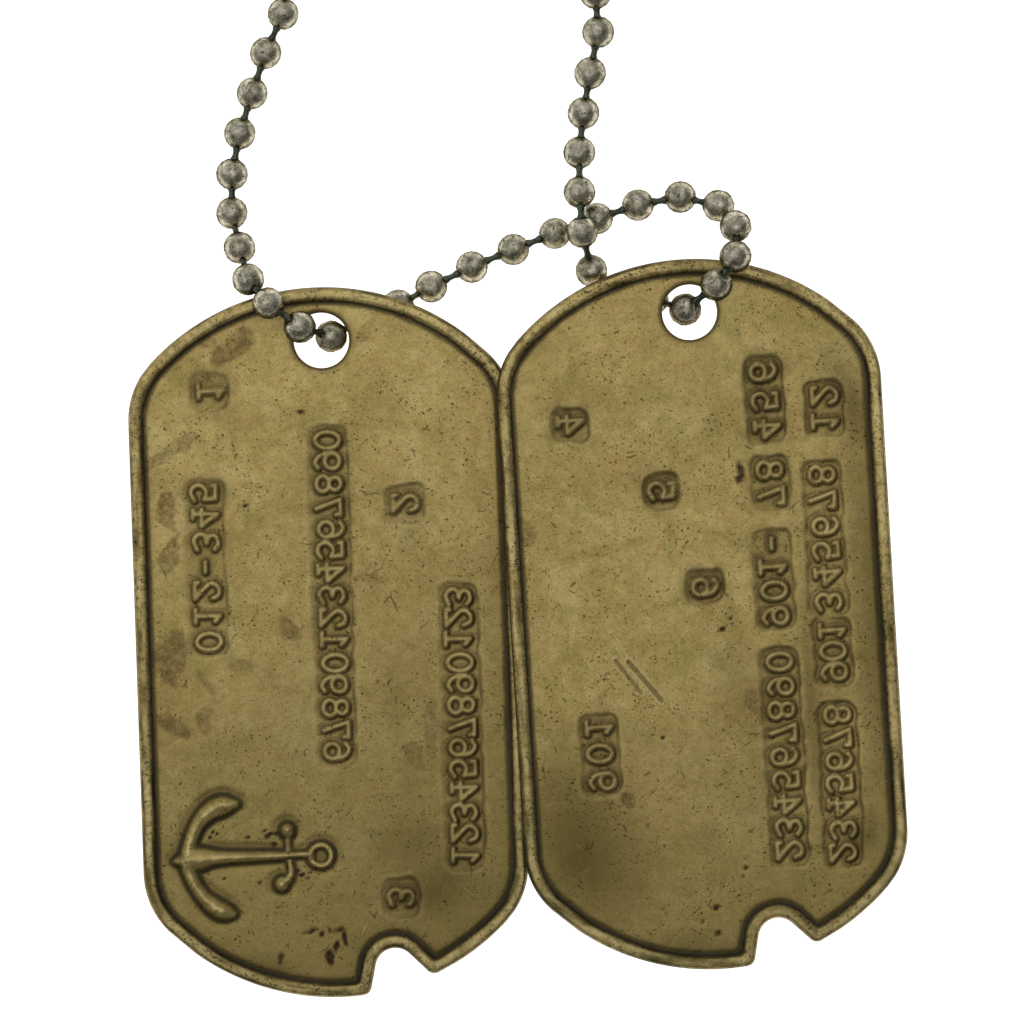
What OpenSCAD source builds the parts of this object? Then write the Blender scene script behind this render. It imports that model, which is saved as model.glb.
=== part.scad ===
// Two oval identification tags threaded on one closed ball chain, lying flat.
// Millimetres. The surface is z = 0, and +Y runs from the notched end to the hole.

/* [Tag blank] */
// Width of a tag over its rim
tag_w = 28.6; // [27.6:0.1:29.6]
// Length of a tag over its rim
tag_l = 52.8; // [51:0.1:55]
// Radius of the two round ends
end_r = 17.5; // [16.5:0.1:19]
// Radius where an end turns into a side
shoulder_r = 6.2; // [5:0.1:7]
// Thickness of the sheet
sheet_t = 0.5; // [0.35:0.05:0.6]
// Height of the sheet's back above the underside of the rim
sheet_rise = 0.1; // [0.05:0.05:0.2]
// Width of the rolled rim
rim_w = 1.1; // [0.9:0.05:1.3]
// Height of the rolled rim
rim_h = 1; // [0.85:0.05:1.2]

/* [Chain hole] */
// Diameter of the chain hole
hole_d = 4.1; // [4:0.05:4.6]
// Distance from the end of the tag to the middle of its hole
hole_in = 3.95; // [3.8:0.05:4.6]

/* [Notch] */
// Distance of the notch from the middle line of the tag
notch_x = 4.2; // [3.5:0.1:5]
// Depth of the notch below the end of the tag
notch_in = 3.55; // [3:0.05:4]
// Radius of the notch's floor
notch_r = 1.5; // [1.2:0.05:1.8]
// Lean of the notch's steep wall from the middle line
notch_steep = 12; // [5:1:20]
// Lean of the notch's gentle wall from the middle line
notch_gentle = 45; // [40:1:50]
// Radius of the two tips beside the notch
tip_r = 0.7; // [0.4:0.05:1]

/* [Anchor] */
// Length of the anchor from its crown point to its ring
anchor_l = 12.2; // [10:0.1:13]
// Radius of the curved arms along their middle line
arm_r = 4.1; // [3.4:0.1:4.6]
// Thickness of the arms and of the shank at the crown
arm_t = 1.2; // [0.8:0.05:1.4]
// Length of the stock between its two balls
stock_l = 4.3; // [3.6:0.1:5.2]
// Bend of the stock's lower end towards the crown
stock_bend = 0.45; // [0:0.05:0.8]
// Diameter of the balls on the stock
stock_ball_d = 1.3; // [0.9:0.05:1.5]
// Outer diameter of the ring
ring_d = 2.3; // [1.9:0.05:2.6]
// Thickness of the ring and the stock
ring_t = 0.6; // [0.4:0.05:0.7]
// Height of the anchor on the tag, from the notched end
anchor_up = 10.7; // [9:0.1:13]
// Height of the relief as a share of its width
relief = 0.38; // [0.25:0.01:0.5]

/* [Stamped numbers] */
// Height of a stamped digit
digit_h = 2.2; // [1.8:0.05:2.4]
// Width of a stamped digit
digit_w = 1.3; // [1:0.05:1.4]
// Width of the strokes of a digit
stroke_w = 0.36; // [0.25:0.01:0.4]
// Height of the digits above the sheet
stamp_h = 0.2; // [0.1:0.05:0.35]

/* [Ball chain] */
// Diameter of a bead
bead_d = 2.4; // [2.1:0.05:2.4]
// Spacing of the beads along a free stretch
pitch = 3.15; // [2.9:0.05:3.4]
// Thickness of the link wire
wire_d = 0.5; // [0.4:0.05:0.55]
// Diameter of the bore in the middle of a bead
bore_d = 0.8; // [0.7:0.05:0.9]
// Width of the neck loop
loop_w = 144; // [130:1:150]
// Length of the neck loop above the strands that run to the tags
loop_l = 190; // [180:1:200]
// Length of the coupling
coupling_l = 8.6; // [7.5:0.1:9.4]
// Diameter of the coupling
coupling_d = 3.2; // [2.9:0.1:3.6]

/* [Hidden] */
$fn = 32;

// Gap between pieces that lie on each other
seat = 0.1;
// Depth to which the relief is rooted in the sheet
sunk = 0.1;
// Least radius left at a tip of the notch when its edge moves inwards
tip_least = 0.05;

// Lean of a tag whose hole end lies on the chain beneath it
lift = bead_d + 3*seat;
lean = asin(lift/tag_l);
// Roll of the right tag, whose left rim lies on the leaning rim of its neighbour
rim_lift = 1.4*(rim_h + seat);
roll = asin(rim_lift/tag_w);

// Corners of the blank: centres of its arcs and the angle where they meet
end_c = tag_l/2 - end_r;
side_c = tag_w/2 - shoulder_r;
turn_y = end_c + sqrt(pow(end_r - shoulder_r, 2) - pow(side_c, 2));
turn_a = atan2(side_c, turn_y - end_c);
notch_c = [notch_x, notch_in - notch_r - tag_l/2];
hole_y = tag_l/2 - hole_in;
sheet_top = sheet_rise + sheet_t;

// Section of the rolled rim: share of rim_w inwards, share of rim_h upwards
rim_foot = 0.32;
rim_section = [[0, 0.5], [0.08, 0.8], [rim_foot, 1], [1 - rim_foot, 1], [0.92, 0.8],
               [1, 0.45], [1 - rim_foot, 0], [rim_foot, 0], [0.08, 0.2]];

// Rows of numbers: tag, x share of tag_w, y share of tag_l, signs, spacing as a share of digit_h
rows = [[0, -0.31, 0.113, "012-345", 0.83], [0, 0.014, 0.066, "678901234567890", 0.755],
        [0, 0.34, -0.123, "1234567890123", 0.73], [0, -0.287, 0.358, "1", 0.9],
        [0, 0.208, 0.193, "2", 0.9], [0, 0.166, -0.361, "3", 0.9],
        [1, 0.196, 0.295, "456", 0.95], [1, 0.196, 0.179, "78", 0.86],
        [1, 0.19, 0.044, "901-", 0.82], [1, 0.19, -0.206, "234567890", 0.8],
        [1, 0.346, 0.278, "12", 0.91], [1, 0.329, 0.097, "345678", 0.86],
        [1, 0.332, -0.063, "901", 0.7], [1, 0.332, -0.251, "2345678", 0.78],
        [1, -0.287, -0.186, "901", 0.91], [1, -0.313, 0.278, "4", 0.9],
        [1, -0.089, 0.177, "5", 0.9], [1, 0.01, 0.04, "6", 0.9]];
// Strokes of each digit: top, right above, right below, bottom, left below, left above, middle
strokes = ["1111110", "0110000", "1101101", "1111001", "0110011",
           "1011011", "1011111", "1110000", "1111111", "1111011"];
function strokes_of(c) = c == "-" ? "0000001" : strokes[ord(c) - ord("0")];

function bow(c, r, a, b, n, first = 1) =
    [for (i = [first:n]) c + r*[cos(a + (b - a)*i/n), sin(a + (b - a)*i/n)]];

// Centre of the rounded tip of radius r between the end arc and a wall of the notch
function tip(a, side, r) =
    let (n = [cos(a), sin(a)], d = side*[sin(a), -cos(a)],
         b = notch_c + [0, end_c] + (notch_r + r)*n)
    b - [0, end_c] + d*(sqrt(pow(b*d, 2) - b*b + pow(end_r - r, 2)) - b*d);

// Edge of the blank moved inwards by inset, counter-clockwise from the right side
function edge(inset) =
    let (r = max(tip_r, inset + tip_least), e = end_r - inset, s = shoulder_r - inset,
         steep = 180 - notch_steep, gentle = 90 - notch_gentle,
         p = tip(steep, -1, r), q = tip(gentle, 1, r),
         pa = 360 + atan2(p.y + end_c, p.x), qa = 360 + atan2(q.y + end_c, q.x))
    concat(bow([side_c, turn_y], s, 0, 90 - turn_a, 5, 0),
           bow([0, end_c], e, 90 - turn_a, 90 + turn_a, 12),
           bow([-side_c, turn_y], s, 90 + turn_a, 180, 5),
           bow([-side_c, -turn_y], s, 180, 270 - turn_a, 5, 0),
           bow([0, -end_c], e, 270 - turn_a, pa, 6),
           bow(p, r - inset, pa, 180 + steep, 3),
           bow(notch_c, notch_r + inset, steep, gentle, 7, 0),
           bow(q, r - inset, 180 + gentle, qa, 3, 0),
           bow([0, -end_c], e, qa, 270 + turn_a, 4),
           bow([side_c, -turn_y], s, 270 + turn_a, 360, 5));

// Where each tag lies: middle x, y, turn about Z, roll about its length, hole's offset
tag_poses = [[0.7 - tag_w/2, -9.7, 1.75, 0, 0.18], [tag_w/2 - 0.2, -7.6, 3.7, roll, 0.4]];
function turned(v, a, k) =
    k == 0 ? [v.x, v.y*cos(a) - v.z*sin(a), v.y*sin(a) + v.z*cos(a)]
  : k == 1 ? [v.x*cos(a) + v.z*sin(a), v.y, v.z*cos(a) - v.x*sin(a)]
  : [v.x*cos(a) - v.y*sin(a), v.x*sin(a) + v.y*cos(a), v.z];
function tipped(v, k) = turned(turned(turned(v, lean, 0), tag_poses[k][3], 1), tag_poses[k][2], 2);
tag_low = [for (k = [0:1]) min([for (p = edge(rim_foot*rim_w)) tipped([p.x, p.y, 0], k).z])];
function laid(v, k) = tipped(v, k) + [tag_poses[k].x, tag_poses[k].y, -tag_low[k]];

// A point beside the hole of tag k, at height z above the underside of its rim
function by_hole(k, x, y, z) = laid([tag_poses[k][4] + x, hole_y + y, z], k);

// Heights of a bead's middle on the surface, on a rim and on a sheet
ball = bead_d/2;
on_rim = rim_h + ball + seat;
on_sheet = sheet_top + ball + seat;

// Where the neck loop starts, and the share of its length from which it rises to the coupling
loop_x = -4.5;
loop_y = 38;
rise_from = 0.97;
// Neck loop from right to left: share of its width from its middle, share of its length
loop = [[0.09, 0.06], [0.14, 0.14], [0.25, 0.25], [0.385, 0.385], [0.49, 0.55], [0.5, 0.73],
        [0.385, 0.885], [0.2, 0.98], [-0.01, 1], [-0.23, 0.96], [-0.41, 0.84], [-0.5, 0.66],
        [-0.47, 0.47], [-0.35, 0.3], [-0.2, 0.17], [-0.1, 0.06]];

// The chain's chosen points: left strand, both holes, right strand and neck loop
route = [
    [-17, 37, ball], [-18.3, 34.1, ball], [-19.3, 31.1, ball], [-20.8, 25.1, ball], [-20.8, 22.2, ball + 0.2],
    [-20.2, 19.6, 2], [-19.5, 17.2, 3.2],
    by_hole(0, -3.75, 2.9, on_rim), by_hole(0, -1.5, 1.07, on_sheet),
    by_hole(0, 0.73, 0.27, sheet_rise), by_hole(0, 3.15, 1.5, -ball - seat),
    [-8.45, 15.35, ball], [-6, 16.75, ball], [0.1, 19.5, ball], [6.3, 21.8, ball],
    [9.35, 22.8, ball], [12.5, 23.4, ball], [15.3, 22.7, 2.2], [16.5, 21.1, 3.9],
    by_hole(1, 3.45, 3.9, on_rim), by_hole(1, 1.95, 1.9, on_sheet),
    by_hole(1, -0.3, 0.2, sheet_rise), by_hole(1, -2.55, 1.1, -ball - 2*seat),
    [8, 16.4, ball + 0.1], [5.9, 17.9, ball + 0.4], [5.2, 20.7, 3.2], [5, 23.7, 2.3],
    [5, 26.7, ball + 0.1], [5.8, 32.6, ball], [6.4, 35.65, ball], [6.2, loop_y + 0.55, ball],
    for (p = loop)
        [loop_x + p.x*loop_w, loop_y + p.y*loop_l, p.y > rise_from ? coupling_d/2 : ball]];

// Smooth closed curve through the route: each span is a cubic with slopes from its neighbours
count = len(route);
function at(i) = route[(i + count) % count];
function span(i) = norm(at(i + 1) - at(i));
function slope(i) =
    (span(i - 1)*(at(i + 1) - at(i))/span(i) + span(i)*(at(i) - at(i - 1))/span(i - 1))
    / (span(i - 1) + span(i));
function between(i, t) =
    let (d = span(i), u = 1 - t)
    (1 + 2*t)*u*u*at(i) + t*u*u*d*slope(i) + t*t*(3 - 2*t)*at(i + 1) - t*t*u*d*slope(i + 1);

// Beads share each span evenly, as near to the free pitch as whole beads allow
function in_span(i) = max(1, round(span(i)/pitch));
beads = [for (i = [0:count - 1]) for (k = [0:in_span(i) - 1])
    let (b = between(i, k/in_span(i))) [b.x, b.y, max(b.z, ball)]];
total = len(beads);
function bead_at(i) = beads[(i + total) % total];
function along(i) =
    let (d = bead_at(i + 1) - bead_at(i - 1)) d/norm(d);

// The coupling takes the place of the beads nearest to the far end of the loop
far_end = max([for (b = beads) b.y]);
coupled = [for (i = [0:total - 1]) if (beads[i].y == far_end) i][0];
coupling_end = coupling_d/3;
function bare(i) = abs(i - coupled)*pitch < (coupling_l + bead_d)/2;

// Extent of everything, so that the origin stands under its middle
function reach(axis, side) =
    let (t = along(coupled)[axis], barrel = coupling_l/2 - coupling_end,
         e = concat([for (b = beads) b[axis] + side*ball],
                    [beads[coupled][axis] + side*(barrel*abs(t) + coupling_d/2*sqrt(1 - t*t))],
                    [for (k = [0:1]) for (p = edge(0)) laid([p.x, p.y, rim_h/2], k)[axis]]))
    side > 0 ? max(e) : min(e);
centre = [(reach(0, 1) + reach(0, -1))/2, (reach(1, 1) + reach(1, -1))/2, 0];

// Closed skin over rings of points; it wraps round both ways
module ring_skin(rings) {
    n = len(rings);
    m = len(rings[0]);
    polyhedron(points = [for (r = rings) for (p = r) p],
               faces = [for (j = [0:n - 1]) for (i = [0:m - 1])
                            let (a = j*m + i, b = j*m + (i + 1)%m,
                                 c = ((j + 1)%n)*m + (i + 1)%m, d = ((j + 1)%n)*m + i)
                            each [[a, c, b], [a, d, c]]]);
}

module rolled_rim() {
    ring_skin([for (s = rim_section) [for (p = edge(s[0]*rim_w)) [p.x, p.y, s[1]*rim_h]]]);
}

module blank(hole_x) {
    difference() {
        union() {
            rolled_rim();
            translate([0, 0, sheet_rise]) linear_extrude(sheet_t) polygon(edge(rim_w/2));
        }
        translate([hole_x, hole_y, -1]) cylinder(d = hole_d, h = rim_h + 2);
    }
}

// Half-round section of the relief, d wide, standing on y = 0
function dome(d) = [for (a = [0:30:180]) d*[cos(a)/2, relief*sin(a)]];

// A bar of the relief between two points, with its own width at each end
module bar(a, b, da, db) {
    d = b - a;
    translate([a.x, a.y, 0]) rotate([90, 0, atan2(d.y, d.x) + 90])
        linear_extrude(norm(d), scale = db/da) polygon(dome(da));
}

// A round knob of the relief, with the same section
module knob(middle, d) {
    translate([middle.x, middle.y, 0]) rotate_extrude()
        polygon([[0, 0], for (a = [0:30:90]) d*[cos(a)/2, relief*sin(a)]]);
}

// Raised anchor on the z = 0 plane, crown to the left, ring to the right, ring end at x = 0
module anchor() {
    ring_x = -ring_d/2;
    crown_x = arm_t - anchor_l;
    arm_x = crown_x + arm_r;
    stock_x = ring_x - ring_d;
    neck_t = 1.4*ring_t;
    fluke_t = 1.35*arm_t;
    fluke = [arm_x - 0.35*arm_r, 0.93*arm_r];
    point = [arm_x + 0.22*arm_r, arm_r];
    bar([crown_x, 0], [stock_x, 0], arm_t, neck_t);
    bar([stock_x, 0], [ring_x - (ring_d - ring_t)/2, 0], neck_t, ring_t);
    bar([crown_x, 0], [-anchor_l, 0], arm_t, ring_t/2);
    translate([arm_x, 0, 0]) rotate_extrude(angle = 170, start = 95)
        translate([arm_r, 0]) polygon(dome(arm_t));
    translate([ring_x, 0, 0]) rotate_extrude()
        translate([(ring_d - ring_t)/2, 0]) polygon(dome(ring_t));
    for (s = [-1, 1]) {
        stock_end = [stock_x - (s < 0 ? stock_bend : 0), s*stock_l/2];
        knob([fluke.x, s*fluke.y], fluke_t);
        bar([fluke.x, s*fluke.y], [point.x, s*point.y], fluke_t, ring_t/2);
        bar([stock_x, 0], stock_end, ring_t, ring_t);
        knob(stock_end, stock_ball_d);
    }
}

// One digit round the origin, as strokes of equal width
module digit(c) {
    on = strokes_of(c);
    step = [digit_w - stroke_w, digit_h - stroke_w]/2;
    flat = [digit_w, stroke_w];
    tall = [stroke_w, (digit_h + stroke_w)/2];
    // Place of each stroke, in steps, and its size
    places = [[0, 1, flat], [1, 0.5, tall], [1, -0.5, tall], [0, -1, flat],
              [-1, -0.5, tall], [-1, 0.5, tall], [0, 0, flat]];
    for (k = [0:6]) if (on[k] == "1")
        translate([places[k][0]*step.x, places[k][1]*step.y]) square(places[k][2], center = true);
}

// Rows of tag k, seen from behind the stamping: mirrored, with their tops towards +x
module stamped_rows(k) {
    translate([0, 0, sheet_top - sunk]) linear_extrude(stamp_h + sunk)
        for (row = rows) if (row[0] == k)
            let (last = len(row[3]) - 1)
            for (i = [0:last])
                translate([row[1]*tag_w, row[2]*tag_l + (i - last/2)*row[4]*digit_h])
                    mirror([1, -1]) digit(row[3][i]);
}

module lay_tag(k) {
    translate(laid([0, 0, 0], k) - centre) rotate([lean, tag_poses[k][3], tag_poses[k][2]]) children();
}

module anchor_tag() {
    color("darkkhaki") lay_tag(0) {
        blank(tag_poses[0][4]);
        stamped_rows(0);
        translate([0, anchor_up - tag_l/2, sheet_top - sunk]) anchor();
    }
}

module number_tag() {
    color("darkkhaki") lay_tag(1) {
        blank(tag_poses[1][4]);
        stamped_rows(1);
    }
}

// A ball with a bore that widens towards both mouths, along z
module drilled_bead() {
    bore = bore_d/2;
    mouth = bore + 0.4*ball;
    rotate_extrude() intersection() {
        circle(d = bead_d);
        polygon([[bore, 0], [mouth, ball], [bead_d, ball], [bead_d, -ball], [mouth, -ball]]);
    }
}

// Turns its children's z axis to the direction d
module aim(d) {
    rotate([0, acos(d.z), atan2(d.y, d.x)]) children();
}

module chain_beads() {
    color("silver") for (i = [0:total - 1]) if (!bare(i))
        translate(beads[i] - centre) aim(along(i)) drilled_bead();
}

module chain_wire() {
    color("dimgray") ring_skin([for (i = [0:total - 1])
        let (t = along(i), s = cross([0, 0, 1], t)/norm(cross([0, 0, 1], t)), u = cross(t, s))
        [for (a = [0:60:300]) beads[i] - centre + wire_d/2*(cos(a)*s + sin(a)*u)]]);
}

module chain_coupling() {
    barrel = coupling_l - 2*coupling_end;
    color("silver") translate(beads[coupled] - centre) aim(along(coupled)) difference() {
        union() {
            cylinder(d = coupling_d, h = barrel, center = true);
            for (s = [0, 1]) mirror([0, 0, s]) translate([0, 0, barrel/2])
                cylinder(d1 = coupling_d, d2 = 0.7*coupling_d, h = coupling_end);
        }
        cylinder(d = wire_d + 4*seat, h = 2*coupling_l, center = true);
    }
}

anchor_tag();
number_tag();
chain_beads();
chain_wire();
chain_coupling();
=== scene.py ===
import math

import bpy
import numpy as np
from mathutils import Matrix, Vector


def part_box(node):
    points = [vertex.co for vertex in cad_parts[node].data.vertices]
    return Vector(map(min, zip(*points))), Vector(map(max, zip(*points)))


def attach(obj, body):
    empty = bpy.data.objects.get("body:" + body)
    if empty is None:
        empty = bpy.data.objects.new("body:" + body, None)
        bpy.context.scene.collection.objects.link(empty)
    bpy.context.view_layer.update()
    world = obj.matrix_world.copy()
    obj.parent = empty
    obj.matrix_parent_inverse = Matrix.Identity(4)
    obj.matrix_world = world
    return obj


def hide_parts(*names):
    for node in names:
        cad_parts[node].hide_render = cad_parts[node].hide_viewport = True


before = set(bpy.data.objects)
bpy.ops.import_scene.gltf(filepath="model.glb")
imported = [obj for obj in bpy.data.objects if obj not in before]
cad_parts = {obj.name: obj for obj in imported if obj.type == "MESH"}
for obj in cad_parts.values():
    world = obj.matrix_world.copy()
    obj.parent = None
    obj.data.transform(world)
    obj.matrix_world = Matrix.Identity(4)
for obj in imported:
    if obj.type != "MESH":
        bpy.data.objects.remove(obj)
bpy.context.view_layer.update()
print("frame loaded")

mm = 0.001


# colours are written as sRGB hex and turned to linear here
def linear(hexColour):
    parts = [int(hexColour[i:i + 2], 16) / 255 for i in (1, 3, 5)]
    return tuple(c / 12.92 if c <= 0.04045 else ((c + 0.055) / 1.055) ** 2.4 for c in parts) + (1.0,)


# adds one node with its settings and links: a value that is a node or a socket is linked, any other is set
def addNode(tree, kind, settings=None, values=None):
    node = tree.nodes.new(kind)
    for name, value in (settings or {}).items():
        setattr(node, name, value)
    for key, value in (values or {}).items():
        if isinstance(value, bpy.types.Node):
            value = next(out for out in value.outputs if out.enabled)
        if isinstance(value, bpy.types.NodeSocket):
            tree.links.new(value, node.inputs[key])
        else:
            node.inputs[key].default_value = value
    return node


# kinds of row in the tables of patterns, each with the sockets that the row's values go to
rowKinds = {
    "cloud": ("ShaderNodeTexNoise", {"noise_dimensions": "3D"},
              ("Vector", "Scale", "Detail", "Roughness", "Distortion")),
    "mask": ("ShaderNodeMapRange", {"interpolation_type": "SMOOTHSTEP"},
             ("Value", "From Min", "From Max", "To Min", "To Max")),
    "share": ("ShaderNodeMapRange", {"interpolation_type": "LINEAR"}, ("Value", "From Min", "From Max")),
    "plus": ("ShaderNodeMath", {"operation": "ADD"}, (0, 1)),
    "times": ("ShaderNodeMath", {"operation": "MULTIPLY"}, (0, 1)),
    "timesPlus": ("ShaderNodeMath", {"operation": "MULTIPLY_ADD"}, (0, 1, 2)),
}


# adds the nodes of a table in its order: a word among a row's values stands for an earlier part of that name
def addRows(tree, rows, parts):
    for name, (kind, *values) in rows.items():
        nodeKind, settings, sockets = rowKinds[kind]
        values = [parts[value] if isinstance(value, str) else value for value in values]
        parts[name] = addNode(tree, nodeKind, settings, dict(zip(sockets, values)))


# an empty material with the first of its parts: the place on the object in mm, and a mask that is full
def newMaterial(name):
    material = bpy.data.materials.new(name)
    material.use_nodes = True
    tree = material.node_tree
    tree.nodes.clear()
    coords = addNode(tree, "ShaderNodeTexCoord")
    place = addNode(tree, "ShaderNodeVectorMath", {"operation": "SCALE"},
                    {0: coords.outputs["Object"], "Scale": 1 / mm})
    return material, tree, {"place": place, "whole": 1.0}


# tag blank, all in mm: what the press and the rolling tool left
blank = {
    "width": 28.6, "length": 52.8, "endRadius": 17.5, "shoulderRadius": 6.2,
    "sheet": 0.5, "sheetRise": 0.1, "rimWidth": 1.1, "rimHeight": 1.0,
    "holeDiameter": 4.1, "holeIn": 3.95,
    "notchX": 4.2, "notchIn": 3.55, "notchRadius": 1.5, "steepWall": 12, "gentleWall": 45, "tipRadius": 0.7,
    "arcSteps": 5,  # segments of the outline for each one the pressed blank needs
    "sideSteps": 30,  # segments along each straight side
    "fine": 0.107, "coarse": 0.19,  # grid of the sheet, inside and outside the stamped bands
    "backEvery": 3,  # the back keeps every third grid line
    "sheetInRim": 0.2,  # the sheet ends this far inside the outline, in the rim
    "holeSquare": 0.75,  # the grid stops this far outside the hole, and rings of points go on from there
    "holeRings": (0.82, 0.66, 0.52, 0.4, 0.3, 0.22, 0.15, 0.1, 0.06, 0.03, 0.01, 0.0),
    "backRings": (0, 3, 6, -1),
}
sheetTop = blank["sheetRise"] + blank["sheet"]
holeY = blank["length"] / 2 - blank["holeIn"]


def unit(angle):
    return np.array([math.cos(math.radians(angle)), math.sin(math.radians(angle))])


def bow(centre, radius, start, end, steps, first=1):
    steps *= blank["arcSteps"]
    first *= blank["arcSteps"]
    angles = np.radians(start + (end - start) * np.arange(first, steps + 1) / steps)
    return np.asarray(centre) + radius * np.stack([np.cos(angles), np.sin(angles)], 1)


# edge of the blank moved inwards, counter-clockwise from the right side: the same points for any inset
def edge(inset):
    endC = blank["length"] / 2 - blank["endRadius"]
    sideC = blank["width"] / 2 - blank["shoulderRadius"]
    turnY = endC + math.sqrt((blank["endRadius"] - blank["shoulderRadius"]) ** 2 - sideC ** 2)
    turnA = math.degrees(math.atan2(sideC, turnY - endC))
    notchC = np.array([blank["notchX"], blank["notchIn"] - blank["notchRadius"] - blank["length"] / 2])
    r = max(blank["tipRadius"], inset + 0.45)  # keeps the rim round inside the notch's points too
    e = blank["endRadius"] - inset
    s = blank["shoulderRadius"] - inset
    steep, gentle = 180 - blank["steepWall"], 90 - blank["gentleWall"]

    def tip(angle, side):
        n, d = unit(angle), side * np.array([math.sin(math.radians(angle)), -math.cos(math.radians(angle))])
        b = notchC + [0, endC] + (blank["notchRadius"] + r) * n
        bd = b @ d
        return b - [0, endC] + d * (math.sqrt(bd ** 2 - b @ b + (blank["endRadius"] - r) ** 2) - bd)

    p, q = tip(steep, -1), tip(gentle, 1)
    pa = 360 + math.degrees(math.atan2(p[1] + endC, p[0]))
    qa = 360 + math.degrees(math.atan2(q[1] + endC, q[0]))
    along = np.linspace(turnY, -turnY, blank["sideSteps"] + 1)[1:-1]
    half = blank["width"] / 2 - inset
    leftSide = np.stack([np.full_like(along, -half), along], 1)
    rightSide = np.stack([np.full_like(along, half), -along], 1)
    return np.concatenate([
        bow([sideC, turnY], s, 0, 90 - turnA, 5, 0),
        bow([0, endC], e, 90 - turnA, 90 + turnA, 12),
        bow([-sideC, turnY], s, 90 + turnA, 180, 5),
        leftSide,
        bow([-sideC, -turnY], s, 180, 270 - turnA, 5, 0),
        bow([0, -endC], e, 270 - turnA, pa, 6),
        bow(p, r - inset, pa, 180 + steep, 3),
        bow(notchC, blank["notchRadius"] + inset, steep, gentle, 7, 0),
        bow(q, r - inset, 180 + gentle, qa, 3, 0),
        bow([0, -endC], e, qa, 270 + turnA, 4),
        bow([sideC, -turnY], s, 270 + turnA, 360, 5),
        rightSide])


# distance of many points from a broken line
def toLine(points, line):
    best = np.full(len(points), 1e9)
    for a, b in zip(line[:-1], line[1:]):
        d = b - a
        t = np.clip(((points - a) @ d) / max(d @ d, 1e-12), 0, 1)
        best = np.minimum(best, np.hypot(*(points - a - t[:, None] * d).T))
    return best


def inside(points, loop):
    x, y = points.T
    hit = np.zeros(len(points), bool)
    for (x1, y1), (x2, y2) in zip(loop, np.roll(loop, -1, 0)):
        if y1 != y2:
            hit ^= ((y1 > y) != (y2 > y)) & (x < (x2 - x1) * (y - y1) / (y2 - y1) + x1)
    return hit


def smooth(low, high, value):
    t = np.clip((value - low) / (high - low), 0, 1)
    return t * t * (3 - 2 * t)


def bell(value, width):
    return np.exp(-(value / width) ** 2)


# smooth random lumps between 0 and 1 over many points
def lumps(points, size, seed):
    table = np.random.default_rng(seed).random((64, 64))
    place = points / size
    low = np.floor(place).astype(int)
    sx, sy = (smooth(0, 1, part) for part in (place - low).T)
    i, j = low.T % 64
    k, m = (i + 1) % 64, (j + 1) % 64
    near = table[i, j] * (1 - sx) + table[k, j] * sx
    far = table[i, m] * (1 - sx) + table[k, m] * sx
    return near * (1 - sy) + far * sy


# how far points lie along and across the long axis of a mark
def onMark(points, centreX, centreY, turn):
    u = unit(turn)
    dx, dy = points[:, 0] - centreX, points[:, 1] - centreY
    return dx * u[0] + dy * u[1], dy * u[0] - dx * u[1]


# signs of the number stamps, in a box one wide and one high: "c" is drawn as a curve, "l" as straight strokes
ring = [(0.5 * math.cos(a), 0.5 * math.sin(a)) for a in np.linspace(0, 2 * math.pi, 17)]
signs = {
    "0": [("c", ring)],
    "1": [("l", [(-0.28, 0.3), (0.05, 0.5), (0.05, -0.5)]), ("l", [(-0.32, -0.5), (0.42, -0.5)])],
    "2": [("c", [(-0.45, 0.22), (-0.28, 0.46), (0.1, 0.5), (0.42, 0.3), (0.36, 0.05), (-0.45, -0.5)]),
          ("l", [(-0.45, -0.5), (0.5, -0.5), (0.5, -0.36)])],
    "3": [("c", [(-0.42, 0.36), (-0.1, 0.5), (0.34, 0.4), (0.36, 0.15), (-0.05, 0.03)]),
          ("c", [(-0.05, 0.03), (0.38, -0.05), (0.46, -0.3), (0.1, -0.5), (-0.46, -0.36)])],
    "4": [("l", [(0.22, -0.5), (0.22, 0.5), (-0.5, -0.14), (0.5, -0.14)]),
          ("l", [(-0.02, -0.5), (0.44, -0.5)])],
    "5": [("l", [(0.44, 0.36), (0.44, 0.5), (-0.34, 0.5), (-0.4, 0.04)]),
          ("c", [(-0.4, 0.04), (0.05, 0.14), (0.46, -0.1), (0.36, -0.42), (-0.05, -0.5), (-0.46, -0.36)])],
    "6": [("c", [(0.4, 0.38), (0.05, 0.5), (-0.36, 0.28), (-0.47, -0.15)]),
          ("c", [(0.46 * math.cos(a), -0.2 + 0.3 * math.sin(a)) for a in np.linspace(0, 2 * math.pi, 13)])],
    "7": [("l", [(-0.46, 0.32), (-0.46, 0.5), (0.46, 0.5), (-0.05, -0.5)])],
    "8": [("c", [(0.38 * math.cos(a), 0.26 + 0.24 * math.sin(a)) for a in np.linspace(0, 2 * math.pi, 13)]),
          ("c", [(0.47 * math.cos(a), -0.24 + 0.26 * math.sin(a)) for a in np.linspace(0, 2 * math.pi, 13)])],
    "-": [("l", [(-0.3, 0), (0.3, 0)])],
}
signs["9"] = [(kind, [(-x, -y) for x, y in path]) for kind, path in signs["6"]]


def curved(path, steps=4):
    p = np.asarray(path, float)
    if np.allclose(p[0], p[-1]):
        p = np.concatenate([p[-2:-1], p, p[1:2]])
    else:
        p = np.concatenate([2 * p[:1] - p[1:2], p, 2 * p[-1:] - p[-2:-1]])
    out = []
    for a, b, c, d in zip(p[:-3], p[1:-2], p[2:-1], p[3:]):
        for t in np.arange(steps) / steps:
            out.append(0.5 * (2 * b + (c - a) * t + (2 * a - 5 * b + 4 * c - d) * t * t
                              + (3 * b - a - 3 * c + d) * t ** 3))
    return np.array(out + [p[-2]])


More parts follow.
